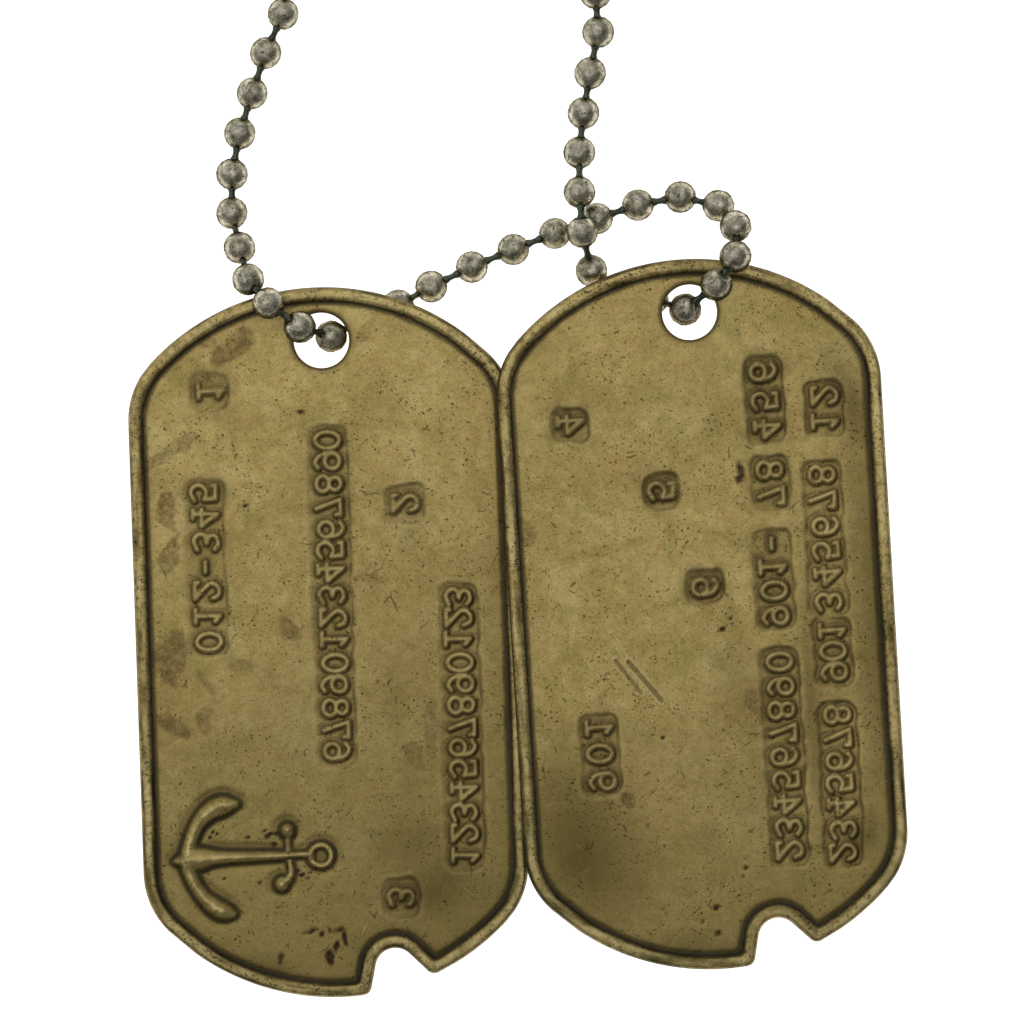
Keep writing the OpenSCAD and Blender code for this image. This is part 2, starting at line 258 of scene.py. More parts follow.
# number stamping, sizes in mm and shares from 0 to 1
stamping = {
    "height": 2.2, "signWidth": 1.42, "stroke": 0.4, "raise": 0.2,
    "moat": 0.04, "moatWidth": 0.16,  # hollow round each stroke
    "boxMargin": 0.4, "boxCorner": 0.7, "boxRagged": 0.3,  # flat that the block of stamps pressed round them
    "aslant": 2.5, "astray": (0.05, 0.04),  # how unevenly they were struck: degrees, and mm across and along
    # the strokes' crests carry a painted highlight, partly rubbed metal
    "boxTarnish": 0.7, "boxShine": 0.2, "strokeGrime": 0.5, "strokeRubAndHighlight": 0.65, "strokeStain": (0.2, 0.5),
}
# rows hold x and y of the row's middle, the signs, their spacing, the depth of the box and its darkness
anchorTag = {
    "node": "anchor_tag", "seed": 4, "yaw": 1.75, "rolled": 0, "holeX": 0.18, "singleBox": 2.95,
    # tarnish with painted shade, darker towards the lower right
    "tarnishAndShade": (0.5, -20, 32, 0.05, 0.8),  # grows along this slope, from and to these places, least and most
    "rows": [
        (-8.87, 5.95, "012-345", 1.83, 0.02, 0.6), (0.4, 3.5, "678901234567890", 1.66, 0.03, 0.7),
        (9.7, -6.5, "1234567890123", 1.6, 0.03, 0.65), (-8.2, 18.9, "1", 2, 0.1, 0.6),
        (5.95, 10.2, "2", 2, 0.1, 0.65), (4.75, -19.05, "3", 2, 0.1, 0.7)],
    # smudges: x, y, length, width, turn, strength
    "smudges": [
        (-6.6, 21.9, 4.1, 1.1, 39, 0.6), (-8.3, 22.6, 1.5, 0.8, 22, 0.4), (-11.0, 14.7, 4.7, 0.7, 35, 0.5),
        (-11.7, 10.6, 2.6, 1.0, -90, 0.6), (-11.6, 6.7, 2.8, 1.0, -99, 0.6),
        (-11.7, -0.7, 3.9, 1.7, -93, 0.6),
        (-11.7, -5.8, 2.6, 0.7, -33, 0.55), (-9.4, -5.4, 2.0, 0.8, -89, 0.4), (-6.3, -1.4, 2.5, 0.5, 3, 0.35),
        (3.3, 22.9, 2.1, 0.6, 53, 0.35), (6.2, -8.6, 2.6, 0.9, -62, 0.4), (7.4, -6.7, 4.5, 0.7, -94, 0.35),
        (3.3, 4.7, 3.0, 0.4, -9, 0.25), (-2.7, 0.9, 1.6, 0.8, 130, 0.5), (-9.2, -2.6, 2.4, 0.5, -60, 0.4)],
    # broad dark patches: x, y, length, width, turn, strength
    "patches": [
        (5.9, -15.6, 14, 12, 5, 0.9), (7.7, -18.5, 15, 11, 12, 1.02), (-5.5, -24.6, 16, 7, -11, 1.0),
        (9.4, -9.0, 8, 15, -2, 0.75), (-5.2, -14.9, 10, 7, -15, 0.65), (13.4, -0.2, 33, 2.4, -89, 0.6),
        (5.0, -4.5, 12, 5, -88, 0.6), (-3.0, -10.5, 9, 5, -60, 0.35), (6.5, 8, 9, 4, 80, 0.4),
        (-0.5, 11, 7, 6, 0, 0.35),
        (-12.9, 0.6, 33, 1.4, -90, 0.25)],
    # pits: x, y, length, width, turn
    "pits": [
        (-1.9, -21.4, 0.9, 0.2, 10), (-1.2, -21.7, 0.4, 0.3, 60), (-0.6, -21.4, 0.3, 0.2, 0),
        (0.1, -21.4, 0.8, 0.2, 5), (0.5, -22.0, 0.25, 0.9, 10), (-0.1, -22.6, 0.3, 0.5, -20),
        (-0.65, -23.5, 0.45, 0.9, 5), (-4.3, -23.3, 0.25, 0.6, -10), (-1.5, 17.2, 0.4, 0.25, 0),
        (-5.8, 10.4, 0.3, 0.2, 40), (-6.5, -14.3, 0.2, 0.2, 0), (-4.95, -14.2, 0.5, 0.3, 40),
        (-4.5, -14.9, 0.3, 0.35, 0), (-4.4, -14.1, 0.3, 0.2, 0), (-9.05, -13.8, 0.25, 0.22, 0),
        (-8.3, -17.3, 0.2, 0.2, 0), (-7.7, -16.2, 0.3, 0.2, 0), (-3.4, -15.9, 0.3, 0.2, 0),
        (-2.5, -17.2, 0.3, 0.2, 20), (-2.15, -17.45, 0.22, 0.2, 0), (-1.95, -17.05, 0.2, 0.18, 0),
        (-2.8, -16.9, 0.25, 0.2, 40), (-1.55, -16.8, 0.2, 0.2, 0), (-5.7, -17.7, 0.25, 0.2, 0),
        (-5.2, -13.85, 0.22, 0.2, 0), (-9.3, -14.2, 0.2, 0.18, 0), (-8.75, -13.95, 0.2, 0.2, 0)],
    "gouges": [],
}
numberTag = {
    "node": "number_tag", "seed": 9, "yaw": 3.7, "rolled": 1, "holeX": 0.4, "singleBox": 2.7,
    # tarnish with painted shade, darker towards the lower right
    "tarnishAndShade": (0.3, -10, 42, 0.07, 0.8),
    "rows": [
        (5.6, 15.6, "456", 2.1, 0.12, 0.85), (5.6, 9.45, "78", 1.9, 0.1, 0.65),
        (5.45, 2.3, "901-", 1.8, 0.09, 0.75),
        (5.45, -10.9, "234567890", 1.76, 0.1, 0.7), (9.9, 14.7, "12", 2, 0.12, 0.7),
        (9.4, 5.1, "345678", 1.9, 0.12, 0.5), (9.5, -3.3, "901", 1.55, 0.12, 0.65),
        (9.5, -13.25, "2345678", 1.72, 0.14, 0.5), (-8.2, -9.8, "901", 2, 0.08, 0.75),
        (-8.95, 14.7, "4", 2, 0.14, 0.8), (-2.55, 9.35, "5", 2, 0.14, 0.85), (0.3, 2.1, "6", 2, 0.14, 0.85)],
    "smudges": [
        (-12.7, 6.9, 2.1, 0.9, -100, 0.45), (3.5, 10.2, 0.9, 0.6, -45, 0.5), (3.7, -6.9, 2.7, 1.3, -60, 0.45),
        (-6.4, -13.3, 1.4, 0.7, -53, 0.6), (-8.1, -9.6, 6.4, 1.6, -88, 0.3), (9.7, -3.0, 3.2, 1.0, -24, 0.3),
        (-7.1, 5.3, 6.1, 0.6, 10, 0.2)],
    "patches": [
        (-9.9, -17.0, 19, 13, -62, 1.07), (-11.5, -12.5, 8, 7, -60, 0.9), (-1.6, -24.6, 14, 5.5, -8, 0.85),
        (12.9, -2.0, 44, 4.5, -90, 0.88), (7.7, -7.5, 24, 2, -90, 0.85), (8, -6, 28, 8, -90, 0.5),
        (2.8, -8.0, 20, 5, -80, 0.5), (12.0, 14.5, 10, 4, -70, 0.9), (10.8, -17.4, 8, 4, 60, 1.0),
        (1.1, -17.5, 9, 5, -63, 0.25),
        (9.4, -0.9, 36, 3, -89, 0.35)],
    "pits": [
        (1.35, -1.15, 0.35, 0.3, 0), (2.0, -0.4, 0.2, 0.2, 0), (-0.3, -21.8, 0.35, 0.3, 0),
        (-0.25, -23.7, 0.35, 0.3, 0), (-1.4, -22.75, 0.25, 0.22, 0), (2.05, -19.0, 0.25, 0.2, 0),
        (-3.5, -8.9, 0.25, 0.2, 0), (3.5, 10.5, 0.3, 0.9, 10), (3.3, 9.9, 0.35, 0.4, 0)],
    # gouges: from x, y to x, y, width
    "gouges": [
        (-5.71, -3.12, -3.39, -6.17, 0.26), (-6.67, -2.95, -4.9, -5.49, 0.22),
        (-6.87, -0.91, -5.9, -2.81, 0.1)],
}

# anchor: x, y from the middle of its ring's end, and half-width of the relief along each stroke
anchor = {
    "at": (0, -15.7), "peak": 0.72, "join": 3.0,
    "foot": 1.3,  # how far each stroke reaches, in half-widths
    "moat": 0.09, "moatWidth": 0.3, "eye": 0.5,
    "strokes": [
        [(-11.95, -0.2, 0.2), (-11.3, -0.15, 0.62), (-10.3, -0.08, 0.95), (-9.7, 0, 0.82), (-8.9, 0, 0.64),
         (-7.5, 0, 0.52), (-4.9, 0, 0.42), (-3.5, 0, 0.36)],
        [(-3.5, 0, 0.3), (-2.6, 0.04, 0.25), (-1.75, 0.02, 0.27)],
        [(-11.1, -0.1, 0.66), (-10.75, 1.2, 0.58), (-10.2, 2.45, 0.6), (-9.35, 3.4, 0.76),
         (-8.35, 3.85, 0.82), (-7.3, 3.95, 0.36)],
        [(-11.1, -0.25, 0.66), (-10.65, -1.65, 0.58), (-9.9, -2.9, 0.6), (-9.1, -3.65, 0.76),
         (-8.4, -4.05, 0.72), (-7.7, -4.25, 0.32)],
        [(-3.5, 0, 0.26), (-3.5, 0.7, 0.2), (-3.5, 1.3, 0.24)], [(-3.52, 1.8, 0.58), (-3.52, 1.9, 0.58)],
        [(-3.49, 0, 0.26), (-3.38, -0.7, 0.22), (-3.32, -1.3, 0.26), (-3.55, -1.8, 0.34)],
        [(-4.0, -2.05, 0.6), (-4.05, -2.15, 0.6)]],
    "ring": (-1.08, -0.08, 0.78, 0.27),
}


# relief of the anchor, distance outside it and how near its crest a point is
def anchorRelief(points):
    lines = [curved(stroke) for stroke in anchor["strokes"]]
    x, y, radius, half = anchor["ring"]
    turns = np.linspace(0, 2 * math.pi, 19)
    lines.append(np.stack([x + radius * np.cos(turns), y + radius * np.sin(turns), np.full(19, half)], 1))
    relief, crest, away = np.zeros(len(points)), np.zeros(len(points)), np.full(len(points), 1e9)
    for line in lines:
        line = line + [anchor["at"][0], anchor["at"][1], 0]
        best = np.zeros(len(points))
        for (x1, y1, r1), (x2, y2, r2) in zip(line[:-1], line[1:]):
            a, d = np.array([x1, y1]), np.array([x2 - x1, y2 - y1])
            t = np.clip(((points - a) @ d) / max(d @ d, 1e-9), 0, 1)
            r = r1 + (r2 - r1) * t
            gap = np.hypot(*(points - a - t[:, None] * d).T)
            rise = 0.5 + 0.5 * np.cos(math.pi * np.clip(gap / r / anchor["foot"], 0, 1))
            best = np.maximum(best, anchor["peak"] * r * rise)
            away = np.minimum(away, gap - r)
            crest = np.maximum(crest, 1 - np.clip(gap / r, 0, 1))
        relief += best ** anchor["join"]
    return relief ** (1 / anchor["join"]), away, crest


# face of a sheet: its unevenness and wear, sizes in mm and shares from 0 to 1
face = {
    "waves": 9, "waveLengths": (7, 24), "waveSlope": 0.0011,  # slow waves of a thin sheet, bent in use
    "grooveDepth": 0.12, "grooveWidth": 0.2, "grooveGrime": 0.5,  # where the sheet runs under the rolled rim
    "bandWidth": 0.18, "bandRagged": 0.16, "bandDarkening": 0.42,  # a darker band beside the groove
    "rimTarnish": 0.2, "rimReach": 0.6,
    # round the anchor: dirt with painted shade in its hollow, and a painted highlight, partly rubbed, on its
    # crests
    "anchorGrimeAndShade": (0.45, 0.5), "anchorTarnishAndShade": 1.1, "anchorReach": 0.7, "anchorRubAndHighlight": 0.6,
    "smudgeStain": 1.1, "pitDepth": 0.1, "pitGrime": 0.7,
    "gougeDepth": 0.08, "gougeBurr": 0.04, "gougeGrime": 1.6, "gougeShine": 0.5,
    "lipDepth": 0.1, "lipRound": 0.14, "lipDrop": 0.12,  # edge of the hole
    "lipGrime": 0.6, "lipTarnish": 0.5,
    "backRelief": 0.75, "backWear": (0.8, 0.5, 1, 0.8),  # how much of the relief and the wear the back shows
}


# height of the sheet's face over many points, and what has settled or worn there, with painted shade in its
# hollows and painted highlights on its crests
def strike(tag, points):
    rng = np.random.default_rng(tag["seed"])
    x, y = points.T
    height = np.full(len(points), sheetTop)
    rubAndHighlight, tarnishAndShade, stain = (np.zeros(len(points)) for _ in range(3))

    for _ in range(face["waves"]):
        turn, phase = rng.uniform(0, 2 * math.pi), rng.uniform(0, 2 * math.pi)
        wave = rng.uniform(*face["waveLengths"])
        along = x * math.cos(turn) + y * math.sin(turn)
        height += face["waveSlope"] * wave * np.sin(along * 2 * math.pi / wave + phase)

    # groove and a darker band along the rim, and the slope of tarnish with painted shade, darker towards the
    # lower right
    rimEdge = edge(blank["rimWidth"])
    rimLine = np.concatenate([rimEdge, rimEdge[:1]])
    intoRim = toLine(points, rimLine) * np.where(inside(points, rimEdge), 1, -1)
    height -= face["grooveDepth"] * bell(intoRim - 0.02, face["grooveWidth"])
    band = face["bandWidth"] + face["bandRagged"] * lumps(points, 0.9, tag["seed"])
    grimeAndShade = face["bandDarkening"] * smooth(band + 0.1, band - 0.08, intoRim)
    grimeAndShade += face["grooveGrime"] * bell(np.maximum(intoRim, 0), 0.12)
    tarnishAndShade += face["rimTarnish"] * np.exp(-np.maximum(intoRim, 0) / face["rimReach"])
    slope, start, end, least, most = tag["tarnishAndShade"]
    tarnishAndShade += least + (most - least) * smooth(start, end, slope * x - y)

    # stamped rows, mirrored because the face is struck through from behind: tops towards +x
    for rowX, rowY, text, pitch, boxDepth, dark in tag["rows"]:
        count = len(text)
        if count == 1:
            reachX = reachY = tag["singleBox"] / 2
        else:
            reachX = stamping["height"] / 2 + stamping["boxMargin"]
            reachY = (count - 1) * pitch / 2 + stamping["signWidth"] / 2 + stamping["boxMargin"]
        near = (np.abs(x - rowX) < reachX + 1.5) & (np.abs(y - rowY) < reachY + 1.5)
        spots = points[near]
        local = spots - [rowX, rowY]

        # the box round the signs, struck harder towards +x
        corner = stamping["boxCorner"]
        q = np.abs(local) - [reachX - corner, reachY - corner]
        box = np.hypot(*np.maximum(q, 0).T) + np.minimum(np.maximum(q[:, 0], q[:, 1]), 0) - corner
        box += stamping["boxRagged"] * (lumps(spots, 0.9, tag["seed"] + 5) - 0.5)
        harder = 0.5 + 0.5 * np.clip(local[:, 0] / reachX, -1, 1)
        height[near] -= boxDepth * (0.55 + 0.6 * harder) * smooth(0.12, -0.28, box)
        # dirt along the box's edge, with a painted shadow that is strongest along its +x wall
        rowGrimeAndShadow = dark * (0.1 + 0.6 * harder ** 2) * bell(box + 0.1, 0.12) * (0.4 + lumps(spots, 0.8, 52))
        blotches = 0.8 * lumps(spots, 0.7, 51) - 0.4
        rowTarnish = stamping["boxTarnish"] * dark * smooth(1.1, -0.6, box + blotches)
        rowShine = stamping["boxShine"] * dark * bell(box - 0.2, 0.1)

        # the signs' strokes: how far each point is from the nearest
        strokeGap = np.full(len(local), 1e9)
        for i, sign in enumerate(text):
            turn = math.radians(rng.uniform(-stamping["aslant"], stamping["aslant"]))
            straysX, straysY = (rng.normal(0, spread) for spread in stamping["astray"])
            middle = np.array([straysX, (i - (count - 1) / 2) * pitch + straysY])
            cell = np.abs(local[:, 1] - middle[1]) < 2.2
            here = local[cell] - middle
            gap = np.full(cell.sum(), 1e9)
            for kind, path in signs[sign]:
                path = curved(path) if kind == "c" else np.asarray(path, float)
                path = np.stack([path[:, 1] * (stamping["height"] - stamping["stroke"]),
                                 path[:, 0] * (stamping["signWidth"] - stamping["stroke"] / 2)], 1)
                path = path @ np.array([[math.cos(turn), math.sin(turn)], [-math.sin(turn), math.cos(turn)]])
                gap = np.minimum(gap, toLine(here, path))
            strokeGap[cell] = np.minimum(strokeGap[cell], gap)
        half = stamping["stroke"] / 2
        body = smooth(half + 0.1, half - 0.1, strokeGap)
        height[near] += (0.75 + 0.5 * lumps(spots, 0.9, tag["seed"] + 3)) * stamping["raise"] * body
        height[near] -= stamping["moat"] * bell(strokeGap - half - 0.2, stamping["moatWidth"])

        # dirt round the strokes, a crest that is partly rubbed and partly a painted highlight, and stain
        # soaked in beside them
        rowGrimeAndShadow = np.maximum(rowGrimeAndShadow, stamping["strokeGrime"] * bell(strokeGap - half - 0.07, 0.06))
        between = dark ** 2 * smooth(0.62, 0.3, strokeGap) * (1 - body)
        rowGrimeAndShadow = np.maximum(rowGrimeAndShadow, stamping["strokeGrime"] * between)
        grimeAndShade[near] = np.maximum(grimeAndShade[near], rowGrimeAndShadow * (1 - 0.9 * body))
        crestRubAndHighlight = (stamping["strokeRubAndHighlight"] - 0.45 * dark) * bell(strokeGap, 0.13)
        rubAndHighlight[near] = np.maximum(rubAndHighlight[near], np.maximum(rowShine, crestRubAndHighlight))
        tarnishAndShade[near] = np.maximum(tarnishAndShade[near], rowTarnish)
        leastStain, moreStain = stamping["strokeStain"]
        soaked = (leastStain + moreStain * dark) * bell(np.maximum(strokeGap - half, 0), 0.32)
        stain[near] = np.maximum(stain[near], soaked * (1 - 0.8 * body))

    # the anchor, a puffy relief with a hollow round it, darkened with dirt and painted shade, and a painted
    # highlight, partly rubbed, on its crests
    if tag["node"] == "anchor_tag":
        relief, away, crest = anchorRelief(points)
        relief *= 0.75 + 0.3 * lumps(points, 0.8, 31) + 0.2 * lumps(points, 0.35, 32)
        haloTarnishAndShade = face["anchorTarnishAndShade"] * np.exp(-np.maximum(away, 0) / face["anchorReach"])
        eye = np.hypot(x - anchor["at"][0] - anchor["ring"][0], y - anchor["at"][1] - anchor["ring"][1])
        away = np.where(eye < anchor["eye"], 0.25, away)  # the ring's eye stays low
        height += relief - anchor["moat"] * bell(away - 0.25, anchor["moatWidth"])
        leastGrime, moreGrime = face["anchorGrimeAndShade"]
        grimeAndShade = np.maximum(grimeAndShade, (leastGrime + moreGrime * lumps(points, 1.3, 33)) * bell(away - 0.08, 0.16))
        tarnishAndShade = np.maximum(tarnishAndShade, haloTarnishAndShade) * (1 - 0.75 * smooth(0.1, 0.45, crest))
        rubAndHighlight = np.maximum(rubAndHighlight, face["anchorRubAndHighlight"] * smooth(0.5, 0.95, crest))

    for markX, markY, length, width, turn, strength in tag["smudges"]:
        along, across = onMark(points, markX, markY, turn)
        ragged = 0.45 + 0.6 * lumps(points, 1.1, 41) + 0.3 * lumps(points, 0.4, 42)
        reach = np.hypot(along * 2 / length, across * 1.5 / width) * ragged
        uneven = 0.7 + 0.4 * lumps(points, 0.6, 43)
        stain = np.maximum(stain, face["smudgeStain"] * strength * smooth(1.1, 0.8, reach) * uneven)
    for markX, markY, length, width, turn, strength in tag["patches"]:
        along, across = onMark(points, markX, markY, turn)
        tarnishAndShade = np.maximum(tarnishAndShade, strength * bell(np.hypot(along * 2 / length, across * 2 / width), 0.95))
    for markX, markY, length, width, turn in tag["pits"]:
        along, across = onMark(points, markX, markY, turn)
        reach = np.hypot(along * 2 / length, across * 2 / width) * (0.7 + 0.6 * lumps(points, 0.25, 44))
        height -= face["pitDepth"] * smooth(1.5, 0.5, reach)
        grimeAndShade = np.maximum(grimeAndShade, face["pitGrime"] * smooth(1.2, 0.6, reach))
        stain = np.maximum(stain, smooth(1.9, 0.9, reach))
    for x1, y1, x2, y2, width in tag["gouges"]:
        gap = toLine(points, np.array([[x1, y1], [x2, y2]]))
        height += face["gougeBurr"] * bell(gap - width * 0.8, width * 0.4)
        height -= face["gougeDepth"] * bell(gap, width / 2)
        grimeAndShade = np.maximum(grimeAndShade, face["gougeGrime"] * width * bell(gap - width * 0.3, width * 0.3))
        rubAndHighlight = np.maximum(rubAndHighlight, face["gougeShine"] * bell(gap - width * 0.9, 0.1))

    # the hole was punched through: a worn lip with dirt round it
    lip = np.hypot(x - tag["holeX"], y - holeY) - blank["holeDiameter"] / 2
    height -= face["lipDepth"] * bell(lip, 0.22)
    grimeAndShade = np.maximum(grimeAndShade, face["lipGrime"] * bell(lip, 0.16))
    tarnishAndShade = np.maximum(tarnishAndShade, face["lipTarnish"] * bell(np.maximum(lip, 0), 0.5))
    return height, np.stack([grimeAndShade, rubAndHighlight, tarnishAndShade, stain], 1)


# grid lines that are close inside the bands and wider elsewhere
def gridLines(low, high, bands):
    lines = [low]
    while lines[-1] < high:
        dense = any(a <= lines[-1] <= b for a, b in bands)
        lines.append(lines[-1] + (blank["fine"] if dense else blank["coarse"]))
    while (len(lines) - 1) % blank["backEvery"]:
        lines.append(lines[-1] + blank["coarse"])
    return np.array(lines)


def buildSheet(tag):
    stampHalf = stamping["height"] / 2 + 0.35
    bands = [(r[0] - stampHalf, r[0] + stampHalf) for r in tag["rows"] if len(r[2]) > 1]
    bands += [(g[0] - 0.3, g[2] + 0.3) for g in tag["gouges"]]
    xs = gridLines(-blank["width"] / 2 - 0.05, blank["width"] / 2, bands)
    ys = gridLines(-blank["length"] / 2 - 0.05, blank["length"] / 2, [(-20, 18.2)])
    step = blank["backEvery"]
    outline = edge(0)
    closedLine = np.concatenate([outline, outline[:1]])

    # coarse cells that lie wholly under the rim or inside it, and outside the square round the hole
    cx, cy = xs[::step], ys[::step]
    corners = np.stack(np.meshgrid(cx, cy, indexing="ij"), -1).reshape(-1, 2)
    good = inside(corners, outline) & (toLine(corners, closedLine) > blank["sheetInRim"])
    good = good.reshape(len(cx), len(cy))
    cell = good[:-1, :-1] & good[1:, :-1] & good[:-1, 1:] & good[1:, 1:]
    squareHalf = blank["holeDiameter"] / 2 + blank["holeSquare"]
    i0, i1 = np.searchsorted(cx, [tag["holeX"] - squareHalf, tag["holeX"] + squareHalf]) - [1, 0]
    j0, j1 = np.searchsorted(cy, [holeY - squareHalf, holeY + squareHalf]) - [1, 0]
    square = np.zeros_like(cell)
    square[i0:i1, j0:j1] = True
    cell &= ~square

    # face of the sheet: every fine cell of the kept coarse cells
    fine = np.kron(cell, np.ones((step, step), bool))
    nx, ny = len(xs), len(ys)
    faceId = np.arange(nx * ny).reshape(nx, ny)
    ii, jj = np.nonzero(fine)
    faces = [np.stack([faceId[ii, jj], faceId[ii + 1, jj], faceId[ii + 1, jj + 1], faceId[ii, jj + 1]], 1)]
    flat = np.stack(np.meshgrid(xs, ys, indexing="ij"), -1).reshape(-1, 2)

    # square round the hole, walked counter-clockwise along the fine lines, and the hole itself
    a, b, c, d = i0 * step, i1 * step, j0 * step, j1 * step
    walk = [(i, c) for i in range(a, b)] + [(b, j) for j in range(c, d)]
    walk += [(i, d) for i in range(b, a, -1)] + [(a, j) for j in range(d, c, -1)]
    walkId = np.array([faceId[i, j] for i, j in walk])
    fromHole = flat[walkId] - [tag["holeX"], holeY]
    turn = np.arctan2(fromHole[:, 1], fromHole[:, 0])
    rimPoints = np.stack([np.cos(turn), np.sin(turn)], 1) * blank["holeDiameter"] / 2
    extra, rings = [], [walkId]
    nextId = nx * ny
    for share in blank["holeRings"]:
        extra.append(rimPoints + (fromHole - rimPoints) * share + [tag["holeX"], holeY])
        rings.append(np.arange(nextId, nextId + len(walk)))
        nextId += len(walk)
    for outer, inner in zip(rings[:-1], rings[1:]):
        faces.append(np.stack([outer, np.roll(outer, -1), np.roll(inner, -1), inner], 1))
    flat = np.concatenate([flat] + extra)
    height, wear = strike(tag, flat)
    fromEdge = np.hypot(*(flat - [tag["holeX"], holeY]).T) - blank["holeDiameter"] / 2
    inLip = 1 - np.clip(fromEdge / face["lipRound"], 0, 1)
    height -= face["lipDrop"] * (1 - np.sqrt(np.clip(1 - inLip ** 2, 0, 1)))
    top = np.column_stack([flat, height])

    # back of the sheet: the same relief seen from below, on the coarse lines
    under = np.column_stack([flat, blank["sheetRise"] + face["backRelief"] * (height - sheetTop)])
    count = len(top)
    wide = np.pad(cell, 1)
    backFaces = []
    for i, j in zip(*np.nonzero(cell)):
        x0, x1, y0, y1 = i * step, (i + 1) * step, j * step, (j + 1) * step
        sides = [(wide[i, j + 1], [(x0, y) for y in range(y0, y1)]),
                 (wide[i + 1, j + 2], [(x, y1) for x in range(x0, x1)]),
                 (wide[i + 2, j + 1], [(x1, y) for y in range(y1, y0, -1)]),
                 (wide[i + 1, j], [(x, y0) for x in range(x1, x0, -1)])]
        turns = []
        for shared, run in sides:
            turns += [faceId[corner] + count for corner in (run[:1] if shared else run)]
        backFaces.append(turns)
    backRings = [rings[k] + count for k in blank["backRings"]]
    backQuads = [np.stack([inner, np.roll(inner, -1), np.roll(outer, -1), outer], 1)
                 for outer, inner in zip(backRings[:-1], backRings[1:])]

    # walls close every open side of the face, the hole's among them
    quads = np.concatenate(faces)
    starts, ends = quads.ravel(), np.roll(quads, -1, 1).ravel()
    openSide = ~np.isin(ends * count + starts, starts * count + ends)
    starts, ends = starts[openSide], ends[openSide]
    walls = np.stack([ends, starts, starts + count, ends + count], 1)

    verts, attrs = np.concatenate([top, under]), np.concatenate([wear, wear * face["backWear"]])
    allFaces = np.concatenate([quads, walls] + backQuads).tolist() + backFaces
    used = np.zeros(len(verts), bool)
    used[np.fromiter((k for polygon in allFaces for k in polygon), int)] = True
    newId = np.cumsum(used) - 1
    return verts[used], [[int(newId[k]) for k in polygon] for polygon in allFaces], attrs[used]


# rolled rim: a ring of points for each place on its section, which runs from the outside over the top to the
# inside and back underneath. Each row has the shares of the width and height, and the grime and tarnish
# there: dirt, with painted shade on the outer and inner slopes
rim = {
    "section": (
        (0.0, 0.48, 0.8, 0.8), (0.02, 0.66, 0.6, 0.8), (0.07, 0.83, 0.25, 0.6), (0.16, 0.95, 0.05, 0.3),
        (0.28, 0.99, 0, 0.1), (0.42, 1.0, 0, 0), (0.58, 0.995, 0, 0), (0.73, 0.97, 0.05, 0.1),
        (0.83, 0.9, 0.2, 0.2), (0.9, 0.77, 0.6, 0.5), (0.96, 0.55, 1, 0.8), (0.9, 0.2, 1, 0.8),
        (0.68, 0.0, 0.5, 0.8), (0.32, 0.0, 0.5, 0.8), (0.1, 0.17, 0.9, 0.8), (0.02, 0.34, 0.9, 0.8)),
    "wobble": 0.012, "wobbles": (5, 9, 14, 23, 31),  # uneven height in mm, and how often each wave goes round
    "dullEnd": 0.65, "dullFrom": 14, "dullTo": -20,  # the notched end is duller, between these places along y
    "patchSize": 1.7, "patches": 0.5, "patchesLess": 0.27,
    "streaks": 64, "streakRows": 6,  # drawn out along the rim: how many go round it and over it
    "streakDull": 1.1, "streakLess": 0.08,
    # brightness along the crest, partly rubbed metal and partly a painted highlight
    "rubAndHighlight": 0.9,
}


# faces between rings of points, the last ring joined to the first
def closeRings(ringCount, pointCount):
    ids = np.arange(ringCount * pointCount).reshape(ringCount, pointCount)
    above = np.roll(ids, -1, 0)
    corners = [ids, np.roll(ids, -1, 1), np.roll(above, -1, 1), above]
    return np.stack(corners, -1).reshape(-1, 4).tolist()


def buildRim(tag):
    rng = np.random.default_rng(tag["seed"] + 20)
    rings, attrs = [], []
    outline = edge(0)
    count = len(outline)
    way = np.arange(count) / count * 2 * math.pi
    along = np.cumsum(np.hypot(*(outline - np.roll(outline, 1, 0)).T))
    waves = (rng.uniform(0.2, 1) * np.sin(way * k + rng.uniform(0, 6.28)) for k in rim["wobbles"])
    wobble = sum(waves) * rim["wobble"]
    for inwards, up, dirtAndShade, dullAndShade in rim["section"]:
        xy = edge(inwards * blank["rimWidth"])
        lift = wobble * smooth(0.6, 1.0, np.full(count, up))
        rings.append(np.column_stack([xy, np.full(count, up * blank["rimHeight"]) + lift]))
        lane = np.full(count, inwards * rim["streakRows"])
        streaks = lumps(np.column_stack([along / along[-1] * rim["streaks"], lane]), 1, tag["seed"] + 80)
        darker = np.maximum(dullAndShade, rim["dullEnd"] * smooth(rim["dullFrom"], rim["dullTo"], xy[:, 1]))
        darker += rim["patches"] * lumps(xy, rim["patchSize"], tag["seed"] + 60) - rim["patchesLess"]
        darker += rim["streakDull"] * smooth(0.45, 0.95, streaks) - rim["streakLess"]
        # the crest is brighter: partly rubbed metal, partly a painted highlight
        rubAndHighlight = rim["rubAndHighlight"] * smooth(0.93, 1.0, up) * (1 - streaks)
        attrs.append(np.stack([np.full(count, dirtAndShade), rubAndHighlight, darker, np.zeros(count)], 1))
    return np.concatenate(rings), closeRings(len(rings), count), np.concatenate(attrs)


def rotation(lean, roll, yaw):
    cl, sl, cr, sr, cy, sy = (f(math.radians(a)) for a in (lean, roll, yaw) for f in (math.cos, math.sin))
    aboutX = np.array([[1, 0, 0], [0, cl, -sl], [0, sl, cl]])
    aboutY = np.array([[cr, 0, sr], [0, 1, 0], [-sr, 0, cr]])
    aboutZ = np.array([[cy, -sy, 0], [sy, cy, 0], [0, 0, 1]])
    return aboutZ @ aboutY @ aboutX


# ball chain, sizes in mm. Stations are the places of its beads, the bare ones inside the coupling among them
chain = {
    "bead": 2.4, "beadMore": 0.03,  # drawn a little larger, since most shrink by some of the spread
    "spread": 0.02, "seed": 5,
    "link": 0.46, "seat": 0.1,  # wire thickness, and the clearance that pieces rest with
    "gather": 0.7,  # the wire's corners round a station lie this near each other
    "stride": 2.9,  # the next station is sought this far ahead
}

